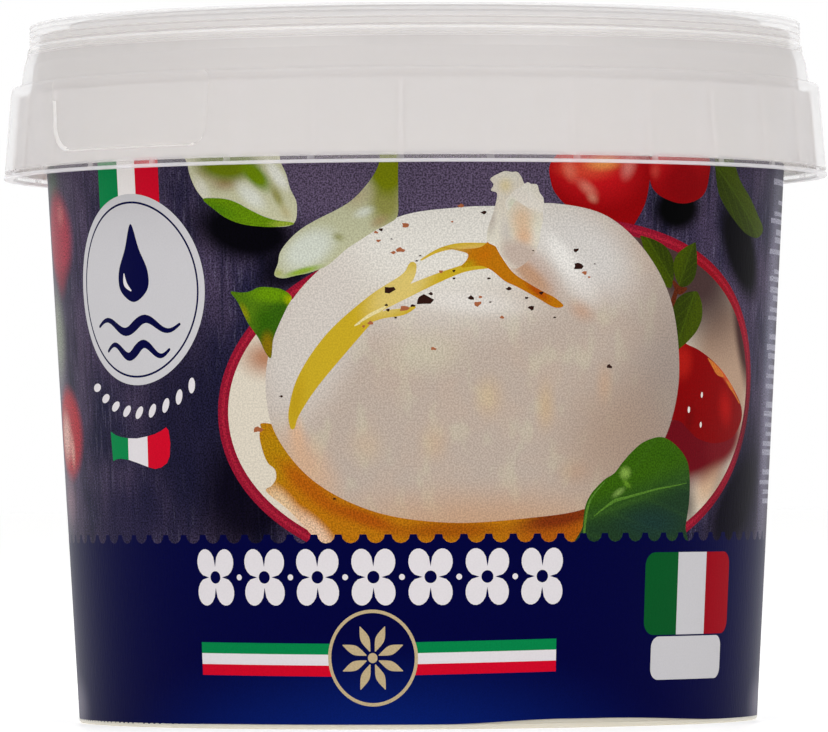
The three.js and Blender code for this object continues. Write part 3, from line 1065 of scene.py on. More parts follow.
@dataclass
class Artwork:
    """Everything that is printed, from the lowest shape to the topmost.

    Attributes:
        half_round: Half of the film's length.
        top_edge: Upper edge of the ground, a little past the film's own.
        scallop_line: Height of the navy band.
        scallops, scallop_radius: Number and half width of the scallops along its upper edge.
        scallop_shift: How far they all lie to the right.
        motif_stretch, motif_pitch: Height of a rosette over its width, and their distance.
        badge_middle: Middle of the round badge.
        shapes: What has been drawn.
    """

    half_round: float
    top_edge: float = 70.0
    scallop_line: float = 23.17
    scallops: int = 90
    scallop_radius: float = 1.12
    scallop_shift: float = -0.48
    motif_stretch: float = 1.25
    motif_pitch: float = 6.97
    badge_middle: Place = (-37.9, 52.7)
    shapes: list[Shape] = field(default_factory=list)

    def __post_init__(self) -> None:
        """Draws the print."""
        self.slate()
        self.whole_tomatoes()
        self.serving_plate()
        self.cheese()
        self.run_of_oil()
        self.knot()
        self.pepper()
        self.upper_leaves()
        self.lower_leaves()
        self.back_garnish()
        self.navy_band()
        self.badge()
        self.ornaments()
        self.flags()
        self.small_print()

    def draw(self, outline: Sequence[Place], ink: Ink, *own: object) -> None:
        """Adds a shape, with the centre, half size and tilt of its own coordinates if it has them."""
        self.shapes.append(Shape(anticlockwise(outline), ink, *own))

    def slate(self) -> None:
        """The board that everything lies on."""
        side = self.half_round + 1
        self.draw(block(-side, 0, side, self.top_edge), Inks.SLATE)

    def whole_tomatoes(self) -> None:
        """Two tomatoes behind the plate."""
        round_one = [
            (16, 67.4), (15.9, 64.8), (16.8, 63.1), (18.6, 61.6), (21.2, 60.6), (23.8, 59.4), (26.2, 59.2),
            (27.6, 60.8), (28.6, 62.6), (29.1, 65), (29.2, 68), (26, 70.5), (20, 70.5),
        ]
        self.draw(smooth_loop(round_one), Inks.TOMATO, (22.5, 65.5), (7.4, 5.2), -8)
        round_two = [
            (29.3, 68), (29.2, 65.2), (30.2, 63.8), (32, 63), (34.2, 62.6), (36.4, 62.9), (38.2, 63.8),
            (39, 65.6), (38.8, 68.4), (34, 70.5),
        ]
        self.draw(smooth_loop(round_two), Inks.TOMATO, (34.2, 66.4), (5.2, 4.2), 0)

    def serving_plate(self) -> None:
        """Plate with a red rim, oil, and the garnish that the cheese hides in part."""
        middle, half, tilt = (13.2, 39.0), (38.3, 21.75), 3.8
        for inset, ink in ((0.0, Inks.RIM), (0.5, Inks.RIM_GLOSS), (0.9, Inks.RIM)):
            self.draw(ellipse(middle, (half[0] - inset, half[1] - inset), tilt, 150), ink)
        self.draw(ellipse((13.2, 38.95), (half[0] - 1.45, half[1] - 1.3), tilt - 0.3, 150), Inks.PLATE)
        pool = [
            (-18.1, 36.4), (-19.2, 35.7), (-19.4, 34.7), (-19, 33), (-18.4, 31.7), (-17.5, 30.9),
            (-17.4, 29.8), (-18, 29), (-18.7, 28.3), (-16, 26.2), (-14, 24.3), (-12.6, 22.8), (-9.4, 20.6),
            (-2, 20), (10, 19), (22, 20), (23, 27), (10, 34), (-8, 34),
        ]
        self.draw(smooth_loop(pool), Inks.OIL)
        tomato = [
            (33, 46), (36.6, 45.6), (39.6, 44.6), (43.2, 42.8), (46.6, 40.4), (48.9, 38.2), (48.8, 36.4),
            (46.6, 34.6), (42.6, 33.9), (39, 34.4), (36.9, 35.5), (35, 36.6), (30, 37.4),
        ]
        self.draw(smooth_loop(tomato), Inks.CUT_TOMATO, (39.5, 39.5), (10, 7), -25)
        for spine in (
            [(40.3, 44.1, 0.08), (41.6, 43.2, 0.34), (42.6, 42.5, 0.42), (43.8, 42, 0.16)],
            [(44.6, 41.4, 0.1), (45.6, 40.8, 0.26), (46.6, 40, 0.12), (48.2, 38.8, 0.1)],
        ):
            self.draw(stroke(spine), Inks.PEACH)
        for s, z, r in ((39.3, 39.7, 0.2), (36.9, 37.9, 0.22), (39.3, 36.1, 0.2)):
            self.draw(ellipse((s, z), (r, r * 1.8), 0, 12), Inks.GLINT)

    def sprig_leaf(self, base: Place, tip: Place, width: float, bow: float, ink: Ink) -> None:
        """A leaf from its base to its tip.

        Args:
            base: Where its stalk joins.
            tip: Its point.
            width: Half of its width.
            bow: How far its middle swings to the left.
            ink: What fills it.
        """
        start, end = Vector(base), Vector(tip)
        along = end - start
        side = Vector((-along.y, along.x)).normalized()

        def at(share: float, out: float) -> Place:
            """The place at a share of the leaf's length, out to its left."""
            spot = start + along * share + side * (bow * math.sin(math.pi * share) + out)
            return (spot.x, spot.y)

        profile = ((0.0, 0.12), (0.12, 0.62), (0.32, 0.97), (0.55, 0.92), (0.78, 0.55), (0.93, 0.2))
        left = [at(share, width * out) for share, out in profile]
        right = [at(share, -width * out) for share, out in reversed(profile)]
        middle = (start + end) / 2 + side * bow
        tilt = math.degrees(math.atan2(along.y, along.x))
        outline = smooth_loop(left + [at(1.0, 0.0)] + right, 5)
        self.draw(outline, ink, (middle.x, middle.y), (along.length / 2, width), tilt)

    def cheese(self) -> None:
        """The ball, and the leaves behind it."""
        self.sprig_leaf((33.0, 52.6), (28.0, 58.6), 1.8, -0.6, Inks.SHADE_LEAF)
        self.sprig_leaf((34.6, 52.7), (37.0, 58.0), 2.1, 0.3, Inks.SHADE_LEAF)
        self.sprig_leaf((37.6, 52.0), (34.6, 45.2), 2.7, -0.4, Inks.SHADE_LEAF)
        self.draw(stroke([(33.4, 53.2, 0.2), (34.4, 52.2, 0.5), (35.6, 52.4, 0.2)]), Inks.STALK)
        self.draw(stroke([(34, 52.4, 0.3), (33.4, 50.8, 0.4), (32.8, 49.8, 0.2)]), Inks.STALK)
        ball = [
            (5, 61.8), (-2, 60.7), (-8.4, 56.9), (-14.3, 51.6), (-17.6, 45.6), (-18.4, 39.8), (-17, 34.6),
            (-12.4, 29.4), (-5, 25.8), (4, 24.5), (13.6, 25), (21.2, 26.1), (27.4, 29), (31.4, 32.5),
            (33.9, 36.8), (34.9, 42.6), (33.4, 50.2), (29.4, 56.2), (23.4, 60.8), (16.6, 62.3), (10.6, 62),
        ]
        self.draw(smooth_loop(ball, 9), Inks.BALL)

    def run_of_oil(self) -> None:
        """Oil that runs down the ball from its knot."""
        for spine in (
            [
                (-0.4, 54.9, 0.5), (-1.2, 53.3, 0.75), (-4.8, 50.4, 1.2), (-9.4, 45.9, 1.6),
                (-13, 41.4, 1.35), (-14.8, 37.8, 0.75), (-15.1, 36, 0.35),
            ],
            [(-5.6, 49.6, 0.7), (-1.6, 51.6, 0.7), (2.4, 53.4, 0.55), (5.6, 54.6, 0.45), (8.6, 55.4, 0.8)],
            [(0.6, 55.6, 0.1), (2.6, 56.7, 0.22), (5, 57.2, 0.38), (8.4, 56.8, 0.8)],
        ):
            self.draw(stroke(spine), Inks.DRIZZLE)
        self.draw(stroke([(-7.2, 47.9, 0.08), (-5.4, 49, 0.3), (-3.6, 50.1, 0.08)]), Inks.PALE_OIL)
        thread = [(-6.4, 48.1, 0.2), (-4, 49.1, 0.42), (-1.6, 49.5, 0.42), (-0.2, 50, 0.15)]
        self.draw(stroke(thread), Inks.DRIZZLE)
        amber = [
            (2.9, 57.1), (5.3, 56.9), (7.5, 57.1), (8.9, 58.1), (9.4, 57), (10.1, 55.8), (11.4, 54.1),
            (13.2, 52.9), (15.2, 51.8), (16.5, 51.2), (17.7, 50.2), (16.5, 50), (14.2, 51.2), (11.9, 52.4),
            (10.4, 53.1), (8.9, 54.3), (7.5, 54.9), (5.3, 54.7), (5.9, 55.6), (6, 56.3), (4.8, 56.7),
        ]
        self.draw(smooth_loop(amber, 5), Inks.AMBER)

    def knot(self) -> None:
        """The knot on top of the ball, with the lobe that folds over it."""
        knot = [
            (8.6, 65.1), (9, 65.5), (9.4, 65.7), (10.3, 66.1), (11.1, 66), (11.8, 66), (12.3, 65.4),
            (12.7, 64.6), (13.5, 64.6), (14.2, 64.5), (14.5, 63.6), (15, 62.7), (14.9, 61.6), (15, 60.4),
            (14.7, 59.1), (14.5, 57.6), (13.8, 56.2), (12.6, 55), (11.4, 54.6), (10.1, 56), (9.4, 57.1),
            (8.3, 57.8), (8.4, 59.5), (8.9, 60.9), (9.3, 62.4), (9.4, 63.5), (8.7, 63.8), (9, 64.5),
        ]
        self.draw(smooth_loop(knot, 4), Inks.KNOT)
        lobe = [
            (12.7, 64.6), (13.1, 64.8), (13.6, 64.5), (14.2, 64.5), (14.5, 63.6), (15, 62.9), (15, 61.7),
            (14.6, 61.2), (13.6, 61.5), (12.4, 62.2), (11.7, 62.6), (11.2, 62), (10.7, 61.4), (10.4, 62.4),
            (10.9, 63.2), (11.6, 63.9), (12.2, 64.2),
        ]
        self.draw(smooth_loop(lobe, 4), Inks.LOBE)

    def pepper(self) -> None:
        """Specks of pepper and crumbs of spice."""
        specks = [
            (-3.1, 52.1, 0.62), (0.9, 50.9, 0.86), (1.7, 51.6, 0.26), (-4, 59.2, 0.26), (-3.6, 59.9, 0.14),
            (-2.8, 58.1, 0.12), (7.9, 61.2, 0.32), (19.2, 56.8, 0.34), (19.5, 54.9, 0.58),
            (6.4, 51.1, 0.36), (13.7, 49.9, 0.4), (13.1, 51.1, 0.22), (-0.4, 50.2, 0.26),
            (10.9, 52.2, 0.32), (4.4, 54.3, 0.2), (4.4, 53.4, 0.18), (24, 43, 0.36), (-16.4, 39.6, 0.22),
            (-6.4, 58.2, 0.18), (8.5, 53.4, 0.2), (-3.5, 50.3, 0.2), (-3.3, 49.7, 0.24), (-2.4, 48.8, 0.18),
            (0.5, 56.1, 0.14), (0.1, 55.5, 0.16), (14.9, 51.7, 0.28), (8.7, 50.6, 0.14), (13.8, 56.7, 0.12),
            (21.7, 55.2, 0.12), (2.2, 45, 0.12), (-10, 27.4, 0.2), (16.6, 48.8, 0.16),
        ]
        crumbs = [
            (-1.8, 56.8, 0.46), (-2.6, 56.5, 0.28), (7.2, 50.4, 0.44), (7.5, 51.2, 0.22),
            (10.1, 48.8, 0.26), (20.4, 54.1, 0.34), (21, 53.6, 0.18), (-19.6, 35.7, 0.55), (5.2, 62, 0.34),
            (4.2, 60.1, 0.16), (-1.2, 59.7, 0.42), (-4.6, 58.9, 0.24), (-5, 59.5, 0.34), (-4.3, 57.9, 0.26),
            (-1.4, 49.9, 0.5), (-5.4, 48.2, 0.32), (-6.2, 47.8, 0.2), (2.9, 54.2, 0.26), (2, 45.1, 0.3),
            (-12.6, 22.9, 0.4),
        ]
        for first, places, ink in ((0, specks, Inks.PEPPER), (5, crumbs, Inks.SPICE)):
            for turn, (s, z, radius) in enumerate(places, first):
                self.speck(s, z, radius, turn, ink)

    def speck(self, s: float, z: float, radius: float, turn: int, ink: Ink) -> None:
        """A ragged speck, different for each turn.

        Args:
            s: Middle, along the arc.
            z: Middle, in height.
            radius: Its mean radius.
            turn: Its number, which gives its raggedness.
            ink: What fills it.
        """
        ring = []
        for k in range(8):
            reach = radius * (0.84 + 0.22 * math.sin(2.6 * k + 1.7 * turn) + 0.1 * math.cos(5 * k + turn))
            a = math.pi * k / 4
            ring.append((s + 1.25 * reach * math.cos(a), z + 0.8 * reach * math.sin(a)))
        self.draw(ring, ink)

    def upper_leaves(self) -> None:
        """Leaves at the upper left, beside the ball."""
        side = [
            (-28.2, 70), (-28.1, 67.4), (-27.8, 66), (-27.1, 64.5), (-26, 63.2), (-24.5, 61.9),
            (-22.8, 60.8), (-20.8, 60.1), (-18.7, 59.8), (-16.7, 59.7), (-14.9, 59.8), (-14.1, 60.4),
            (-13.9, 61.7), (-14, 62.8), (-14.7, 64.3), (-15.1, 65.9), (-15.8, 67.5), (-17, 71),
        ]
        self.draw(smooth_loop(side, 4), Inks.TURNED_LEAF)
        lime = [
            (-26.1, 63.2), (-24.5, 61.9), (-22.8, 60.8), (-20.8, 60.1), (-18.7, 59.8), (-16.7, 59.7),
            (-14.6, 59.9), (-14.5, 60.2), (-16.5, 60.5), (-18.1, 61), (-19.8, 61.8), (-21.3, 62.6),
            (-22.7, 63.1), (-24.4, 63.3),
        ]
        self.draw(smooth_loop(lime, 4), Inks.LIME)
        curled = [
            (-4, 70), (-4.1, 67.4), (-4.8, 65.7), (-5.9, 64.2), (-7.4, 62.7), (-9.2, 61.6), (-11.3, 60.6),
            (-13.3, 59.5), (-14.9, 58.2), (-16.1, 56.7), (-16.4, 55.4), (-16.9, 54), (-15.8, 53.6),
            (-14.2, 53.9), (-12.6, 54.2), (-10.6, 54.9), (-9.4, 55.8), (-8, 57), (-6.6, 57.9), (-4.7, 59.1),
            (-3.2, 59.9), (-2.1, 60.8), (-2, 63.2), (-2, 65.7), (-2.1, 70),
        ]
        self.draw(smooth_loop(curled, 4), Inks.CURLED_LEAF)
        small = [
            (-22.7, 52.1), (-21.4, 52), (-20.2, 52.1), (-18.8, 52.6), (-17, 52.5), (-15.8, 52.2),
            (-14.8, 51.3), (-15.5, 50), (-16.7, 47.7), (-17.3, 46.2), (-17.6, 44.2), (-18.3, 44.8),
            (-19.2, 46.6), (-20.4, 48.2), (-20.9, 49.1), (-21.8, 50.9),
        ]
        self.draw(smooth_loop(small, 4), Inks.LEAF, (-18.2, 49.6), (4.6, 3.4), 58)

    def lower_leaves(self) -> None:
        """A leaf behind the plate's right side, and the large one in front of the ball."""
        blade = [
            (40.2, 69), (40.7, 65), (42, 63), (44.6, 61), (47.8, 59.4), (51.4, 58.9), (53.4, 60),
            (51.2, 61.8), (48.6, 63.8), (45.8, 65.8), (43.2, 69),
        ]
        self.draw(smooth_loop(blade), Inks.SHADE_LEAF, (46.5, 62.8), (8, 2.6), -36)
        basil = [
            (20.6, 20.5), (20.8, 24), (21.1, 26.3), (21.7, 27.6), (22.6, 28.6), (23.8, 29.6), (25.1, 30.3),
            (26.2, 31.5), (27.7, 32.9), (29.6, 34.1), (32.3, 34.6), (34.8, 33.6), (36.8, 31.9),
            (37.5, 29.9), (37.6, 27), (37.1, 24), (36.4, 20.5),
        ]
        self.draw(smooth_loop(basil), Inks.BIG_LEAF, (29.6, 27.4), (8.6, 6.4), 17)
        for spine in (
            [
                (22.4, 25.2, 0.05), (23.7, 26.1, 0.12), (25.3, 27, 0.2), (27.1, 27.4, 0.16),
                (29.4, 27.9, 0.13), (31.9, 28.4, 0.1), (34.3, 28.7, 0.08), (37, 29.1, 0.03),
            ],
            [
                (20.9, 20.5, 0.14), (21.1, 24.2, 0.16), (21.5, 26.4, 0.14), (22.3, 27.8, 0.1),
                (23.8, 29.3, 0.04),
            ],
        ):
            self.draw(stroke(spine), Inks.LEAF_RIB)

    def back_garnish(self) -> None:
        """Leaves and tomatoes on the sides and the back."""
        for s, z, tilt in ((-96, 58, 20), (-76, 34, 150), (82, 60, 35),
                           (104, 36, 200), (122, 62, -20), (-122, 40, 70)):
            self.sprig_leaf((s, z), turned((s + 9, z), (s, z), tilt), 3.2, 0.8, Inks.LEAF)
        for s, z, r in ((-104, 36, 6.2), (-84, 62, 5.4), (92, 42, 6.6), (114, 50, 4.8), (-130, 60, 5.8)):
            self.draw(ellipse((s, z), (r, r * 0.93), 0, 48), Inks.TOMATO, (s, z), (r, r), 0)
            self.draw(ellipse((s - r * 0.35, z + r * 0.4), (r * 0.2, r * 0.1), 25, 16), Inks.GLINT)

    def navy_band(self) -> None:
        """The navy foot of the print, whose upper edge is bitten in scallops."""
        pitch = 2 * self.half_round / self.scallops
        edge = [(self.half_round + 2, 0), (self.half_round + 2, self.scallop_line)]
        for k in range(self.scallops):
            middle = self.half_round - pitch * (k + 0.5) + self.scallop_shift
            for j in range(7):
                a = math.pi * j / 6
                edge.append((middle + self.scallop_radius * math.cos(a),
                             self.scallop_line - 0.94 * self.scallop_radius * math.sin(a)))
        edge += [(-self.half_round - 1, self.scallop_line), (-self.half_round - 1, 0)]
        self.draw(edge, Inks.NAVY)

    def badge(self) -> None:
        """Ribbon and round badge with a milk drop over waves."""
        stripes = (-44.0, -40.0, Inks.GREEN), (-40.0, -36.7, Inks.RIBBON_WHITE), (-36.7, -32.7, Inks.RED)
        for low, high, ink in stripes:
            self.draw(block(low, 58, high, self.top_edge), ink)
        middle = self.badge_middle
        for half, ink in ((11.5, Inks.SOFT_WHITE), (10.6, Inks.NAVY), (10.35, Inks.SOFT_WHITE)):
            self.draw(ellipse(middle, (half + 0.1, half)), ink)
        drop = [
            (-37.9, 60.6), (-36.6, 57.6), (-35.2, 54.9), (-35.4, 52.6), (-37.9, 51.2), (-40.4, 52.6),
            (-40.6, 54.9), (-39.2, 57.6),
        ]
        self.draw(smooth_loop(drop, 6), Inks.NAVY)
        self.draw(stroke([(-39.6, 54.6, 0.1), (-39.4, 53.4, 0.32), (-38.4, 52.6, 0.1)]), Inks.WHITE)
        for level, width in ((48.4, 7.6), (45.4, 5.8)):
            wave = [
                (middle[0] + width * t / 8, level + 0.75 * math.sin(t * math.pi / 4), 0.62 - 0.055 * abs(t))
                for t in range(-8, 9)
            ]
            self.draw(stroke(wave, 2), Inks.NAVY)
        for k in range(-4, 5):
            bead = turned((middle[0], middle[1] - 14.8), middle, 9.5 * k)
            self.draw(ellipse(bead, (0.95, 0.5), 9.5 * k + 45, 20), Inks.WHITE)

    def small_print(self) -> None:
        """A column of short pale bars, as lines of small print look from the side."""
        for k in range(34):
            if k % 7 == 4:
                continue
            start = 58.6 + 1.9 * math.sin(1.9 * k) + 1.1 * math.sin(4.3 * k + 1)
            low = 26.6 + 1.18 * k + 0.12 * math.sin(3.1 * k)
            end = 71.0 + 2.2 * math.sin(2.7 * k)
            self.draw(block(start, low, end, low + 0.62 + 0.12 * math.sin(5.2 * k)), Inks.SMALL_PRINT)

    def ornaments(self) -> None:
        """A row of rosettes, tricolour rules and a gold ring with a flower."""
        for k in range(7):
            middle = (-26.3 + self.motif_pitch * k, 18.1)
            flower = petals(middle, 3.3, 4, 0.3, math.pi / 4)
            self.draw([(s, middle[1] + self.motif_stretch * (z - middle[1])) for s, z in flower], Inks.WHITE)
            self.draw(ellipse(middle, (0.75, 0.75), 0, 20), Inks.NAVY)
            if k < 6:
                between = (middle[0] + self.motif_pitch / 2, middle[1])
                self.draw(ellipse(between, (0.36, 0.36), 0, 14), Inks.WHITE)
        for start, end, rise in ((-28.8, -10.4, -0.15), (-0.8, 17.5, 0.3)):
            for low, ink in ((9.05, Inks.GREEN), (7.75, Inks.WHITE), (6.45, Inks.RED)):
                self.draw([(start, low), (end, low + rise), (end, low + 1.3 + rise), (start, low + 1.3)], ink)
        middle = (-5.6, 8.5)
        self.draw(ellipse(middle, (5.6, 5.75), 0, 72), Inks.GOLD)
        self.draw(ellipse(middle, (5.2, 5.35), 0, 72), Inks.NAVY)
        for k in range(8):
            petal = [(*turned((middle[0] + out, middle[1]), middle, 45 * k + 22.5), width)
                     for out, width in ((0.9, 0.08), (2.45, 0.56), (4.0, 0.06))]
            self.draw(stroke(petal), Inks.GOLD)
        self.draw(ellipse(middle, (0.6, 0.6), 0, 20), Inks.GOLD)

    def flags(self) -> None:
        """The waving flag, and the square flag over its bare white plate."""
        high = [
            (-44.2, 35.7), (-43.1, 35.25), (-41.9, 35), (-40.4, 34.85), (-38.6, 34.8), (-36.6, 35.05),
            (-35.2, 35.3), (-34, 35.7), (-33.2, 36.1),
        ]
        low = [
            (-44, 32.1), (-43.1, 32.35), (-42.1, 32.4), (-40.5, 32.25), (-38.7, 31.85), (-36.7, 31.35),
            (-35.4, 31.1), (-34.3, 31.3), (-33.3, 31.8),
        ]
        end = [(-32.8, 32.6), (-32.6, 34.2), (-32.8, 35.7)]
        for first, last, ink in ((0, 4, Inks.GREEN), (3, 6, Inks.WHITE), (5, 9, Inks.RED)):
            side = end if ink is Inks.RED else []
            self.draw(low[first:last] + side + high[first:last][::-1], ink)
        left, foot, right, top, corner = 30.3, 10.9, 47.3, 20.8, 1.6
        square = block(left, foot, right, top, corner)
        self.draw(square, Inks.SOFT_WHITE)
        third = left + (right - left) / 3
        green = [(third, foot), (third, top)] + square[7:21]
        self.draw(green, Inks.DEEP_GREEN)
        self.draw([(left + right - s, z) for s, z in reversed(green)], Inks.DEEP_RED)
        self.draw(block(31.6, 5.5, 45.8, 10.7, 1.3), Inks.SOFT_WHITE)


@dataclass
class Film:
    """The printed film round the wall, with its butt seam at the back.

    Attributes:
        tub: The tub whose wall it wraps.
        thickness: Thickness of the film.
        reference: Radius at which arcs are measured.
        seam: Gap of the seam.
        askew: How much higher its lower edge is right of the front.
        dip: How much lower its lower edge is at the left than in front.
        grid_degrees: Step of the mesh round the wall.
        back_strip: Share of the unwrap that the back of the film takes.
    """

    tub: Tub
    thickness: float = 0.1
    reference: float = 44.0
    seam: float = 1.4
    askew: float = 0.5
    dip: float = 0.18
    grid_degrees: float = 1.5
    back_strip: float = 0.02

    @property
    def half_round(self) -> float:
        """Half of the film's length."""
        return math.pi * self.reference - self.seam / 2

    def foot(self, s: float) -> float:
        """Height of the lower edge: the film lies a little askew, higher at the right.

        Args:
            s: Arc from the middle of the front.

        Returns:
            The height there.
        """
        angle = math.degrees(s / self.reference)
        rise = self.askew * (soft_step(angle, 4, 24) - 1.15 * soft_step(angle, 32, 62))
        sag = self.dip * soft_step(angle, -30, -55) * soft_step(angle, -160, -130)
        return self.tub.film_low + rise - sag

    def on_wall(self, place: Place, depth: float) -> Vector:
        """A place on the film as a point in metres."""
        return on_circle(self.tub.radius(place[1]) - depth, place[0] / self.reference, place[1])

    def cut(self, shapes: Sequence[Shape]) -> tuple[list[Place], list[tuple[list[int], int]]]:
        """Cuts the film into triangles along every outline.

        Args:
            shapes: The shapes, from the lowest to the topmost.

        Returns:
            The places, and each triangle with the number of its topmost shape.
        """
        high, half = self.tub.film_high, self.half_round
        lines = math.ceil(360 / self.grid_degrees)
        stations = [-half + 2 * half * k / lines for k in range(lines + 1)]
        frame_loop = [(s, self.foot(s)) for s in stations] + [(s, high) for s in reversed(stations)]
        points = [Vector(p) for p in frame_loop]
        edges = [(k, 2 * lines + 1 - k) for k in range(1, lines)]
        loops = [list(range(len(frame_loop)))]
        for shape in shapes:
            start = len(points)
            points.extend(Vector(p) for p in shape.outline)
            loops.append(list(range(start, len(points))))
        flat, _, triangles, _, _, owners = delaunay_2d_cdt(points, edges, loops, 0, 1e-5, True)
        kept = [(list(t), max(o) - 1) for t, o in zip(triangles, owners) if 0 in o and max(o) > 0]
        return [(p.x, p.y) for p in flat], kept

    def solid(self, places: list[Place], front: list[list[int]]) -> Piece:
        """Makes the film a closed solid: its printed faces first, then its back and its rim.

        Args:
            places: Place of each point of one side.
            front: Corner numbers of each printed face.

        Returns:
            The bare film.
        """
        count = len(places)
        verts = [self.on_wall(p, depth) for depth in (0, self.thickness) for p in places]
        sides = {(t[i], t[(i + 1) % 3]) for t in front for i in range(3)}
        rim = [(a, b) for a, b in sides if (b, a) not in sides]
        faces = front + [[v + count for v in reversed(t)] for t in front]
        faces += [[b, a, a + count, b + count] for a, b in rim]
        return mesh_object("printed_film", verts, faces)

    def build(self) -> Piece:
        """Makes the film, lays its print and sets it in place of its solid.

        Returns:
            The finished film.
        """
        shapes = Artwork(self.half_round).shapes
        flat, triangles = self.cut(shapes)
        inks = list({shape.ink.name: shape.ink for shape in shapes}.values()) + [Inks.BACK]
        number = {ink.name: i for i, ink in enumerate(inks)}
        used = sorted({v for t, _ in triangles for v in t})
        renumber = {v: i for i, v in enumerate(used)}
        places = [flat[v] for v in used]
        owners = [owner for _, owner in triangles]
        piece = self.solid(places, [[renumber[v] for v in t] for t, _ in triangles])
        mesh = piece.data
        for ink in inks:
            mesh.materials.append(ink.material())
        rest = len(mesh.polygons) - len(owners)
        slots = [number[shapes[o].ink.name] for o in owners] + [number[Inks.BACK.name]] * rest
        mesh.polygons.foreach_set("material_index", slots)
        self.map_layers(mesh, places, shapes, owners)
        self.set_normals(mesh, places)
        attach(piece, ROOT)
        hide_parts("label")
        return piece

    def map_layers(self, mesh: bpy.types.Mesh, places: list[Place], shapes: Sequence[Shape],
                   owners: Sequence[int]) -> None:
        """Fills the coordinate layers: the unwrap, print millimetres and shares of shapes.

        Args:
            mesh: The film's mesh, its printed faces first.
            places: Place of each point of one side.
            shapes: The shapes of the print.
            owners: Number of each printed face's shape.
        """
        low, high, half = self.tub.film_low, self.tub.film_high, self.half_round
        count = len(places)
        strip = self.back_strip
        values: dict[Layer, list[float]] = {layer: [] for layer in Layer}
        for polygon in mesh.polygons:
            printed = polygon.index < len(owners)
            for v in polygon.vertices:
                s, z = places[v % count]
                u, w = (s + half) / (2 * half), (z - low) / (high - low)
                w = 2 * strip + (1 - 2 * strip) * w if printed else strip * w
                values[Layer.UNWRAP] += (u, w)
                values[Layer.PRINT] += (s, z)
                values[Layer.SHAPE] += shapes[owners[polygon.index]].share((s, z)) if printed else (0, 0)
        for layer, numbers in values.items():
            mesh.uv_layers.new(name=layer.value).data.foreach_set("uv", numbers)

    def set_normals(self, mesh: bpy.types.Mesh, places: list[Place]) -> None:
        """Gives both faces of the film the exact normals of a cone.

        Args:
            mesh: The film's mesh.
            places: Place of each point of one side.
        """
        count = len(places)
        turns = [s / self.reference for s, _ in places]
        out = [Vector((math.sin(a), -math.cos(a), -self.tub.slope)).normalized() for a in turns]
        normals = []
        for polygon in mesh.polygons:
            on_rim = len({v >= count for v in polygon.vertices}) == 2
            for v in polygon.vertices:
                face_side = out[v % count] * (-1 if v >= count else 1)
                normals.append(polygon.normal.copy() if on_rim else face_side)
        mesh.normals_split_custom_set(normals)


# ---------------------------------------------------------------- lid


class Skin(Enum):
    """The skins of the lid, each with its finish.

    Light passes the outer skin easily, so the edges of the lid look clear. The inner skin and the ribs carry
    most of the haze. The raised ring gets a lighter copy of the finish, painted light; the ledge at its foot
    and the rounded left side of the lifting tab get lighter copies, painted highlights; the grooves and
    hairlines get a darker copy, painted shade.
    """

    OUTER = NaturalPolypropylene("lid_outer_skin", "dcd9da", 0.3, cover=0.24)
    INNER = NaturalPolypropylene("lid_inner_skin", "ebe7e6", 0.45, cover=0.7, scatter=0.0)
    LIP = NaturalPolypropylene("lid_lip", "eae6ea", 0.3, cover=0.5)
    # RING is a lighter copy of the outer finish, painted light. LEDGE and EDGE are lighter copies, painted
    # highlights. GROOVE is a darker copy, painted shade.
    RING = NaturalPolypropylene("lid_ring_painted_light", "f2efef", 0.3, cover=0.32)
    LEDGE = NaturalPolypropylene("lid_ledge_painted_highlight", "f4f1f1", 0.3, cover=0.6)
    GROOVE = NaturalPolypropylene("lid_groove_painted_shade", "dcd8d9", 0.45, cover=0.36, scatter=0.0)
    RIB = NaturalPolypropylene("lid_rib", "f6f2f0", 0.45, cover=0.34, scatter=0.0)
    WEB = NaturalPolypropylene("lid_tamper_web", "f6f2f0", 0.45, cover=0.12, scatter=0.0)
    EDGE = NaturalPolypropylene("lid_tab_edge_painted_highlight", "f3f1f1", cover=0.47)


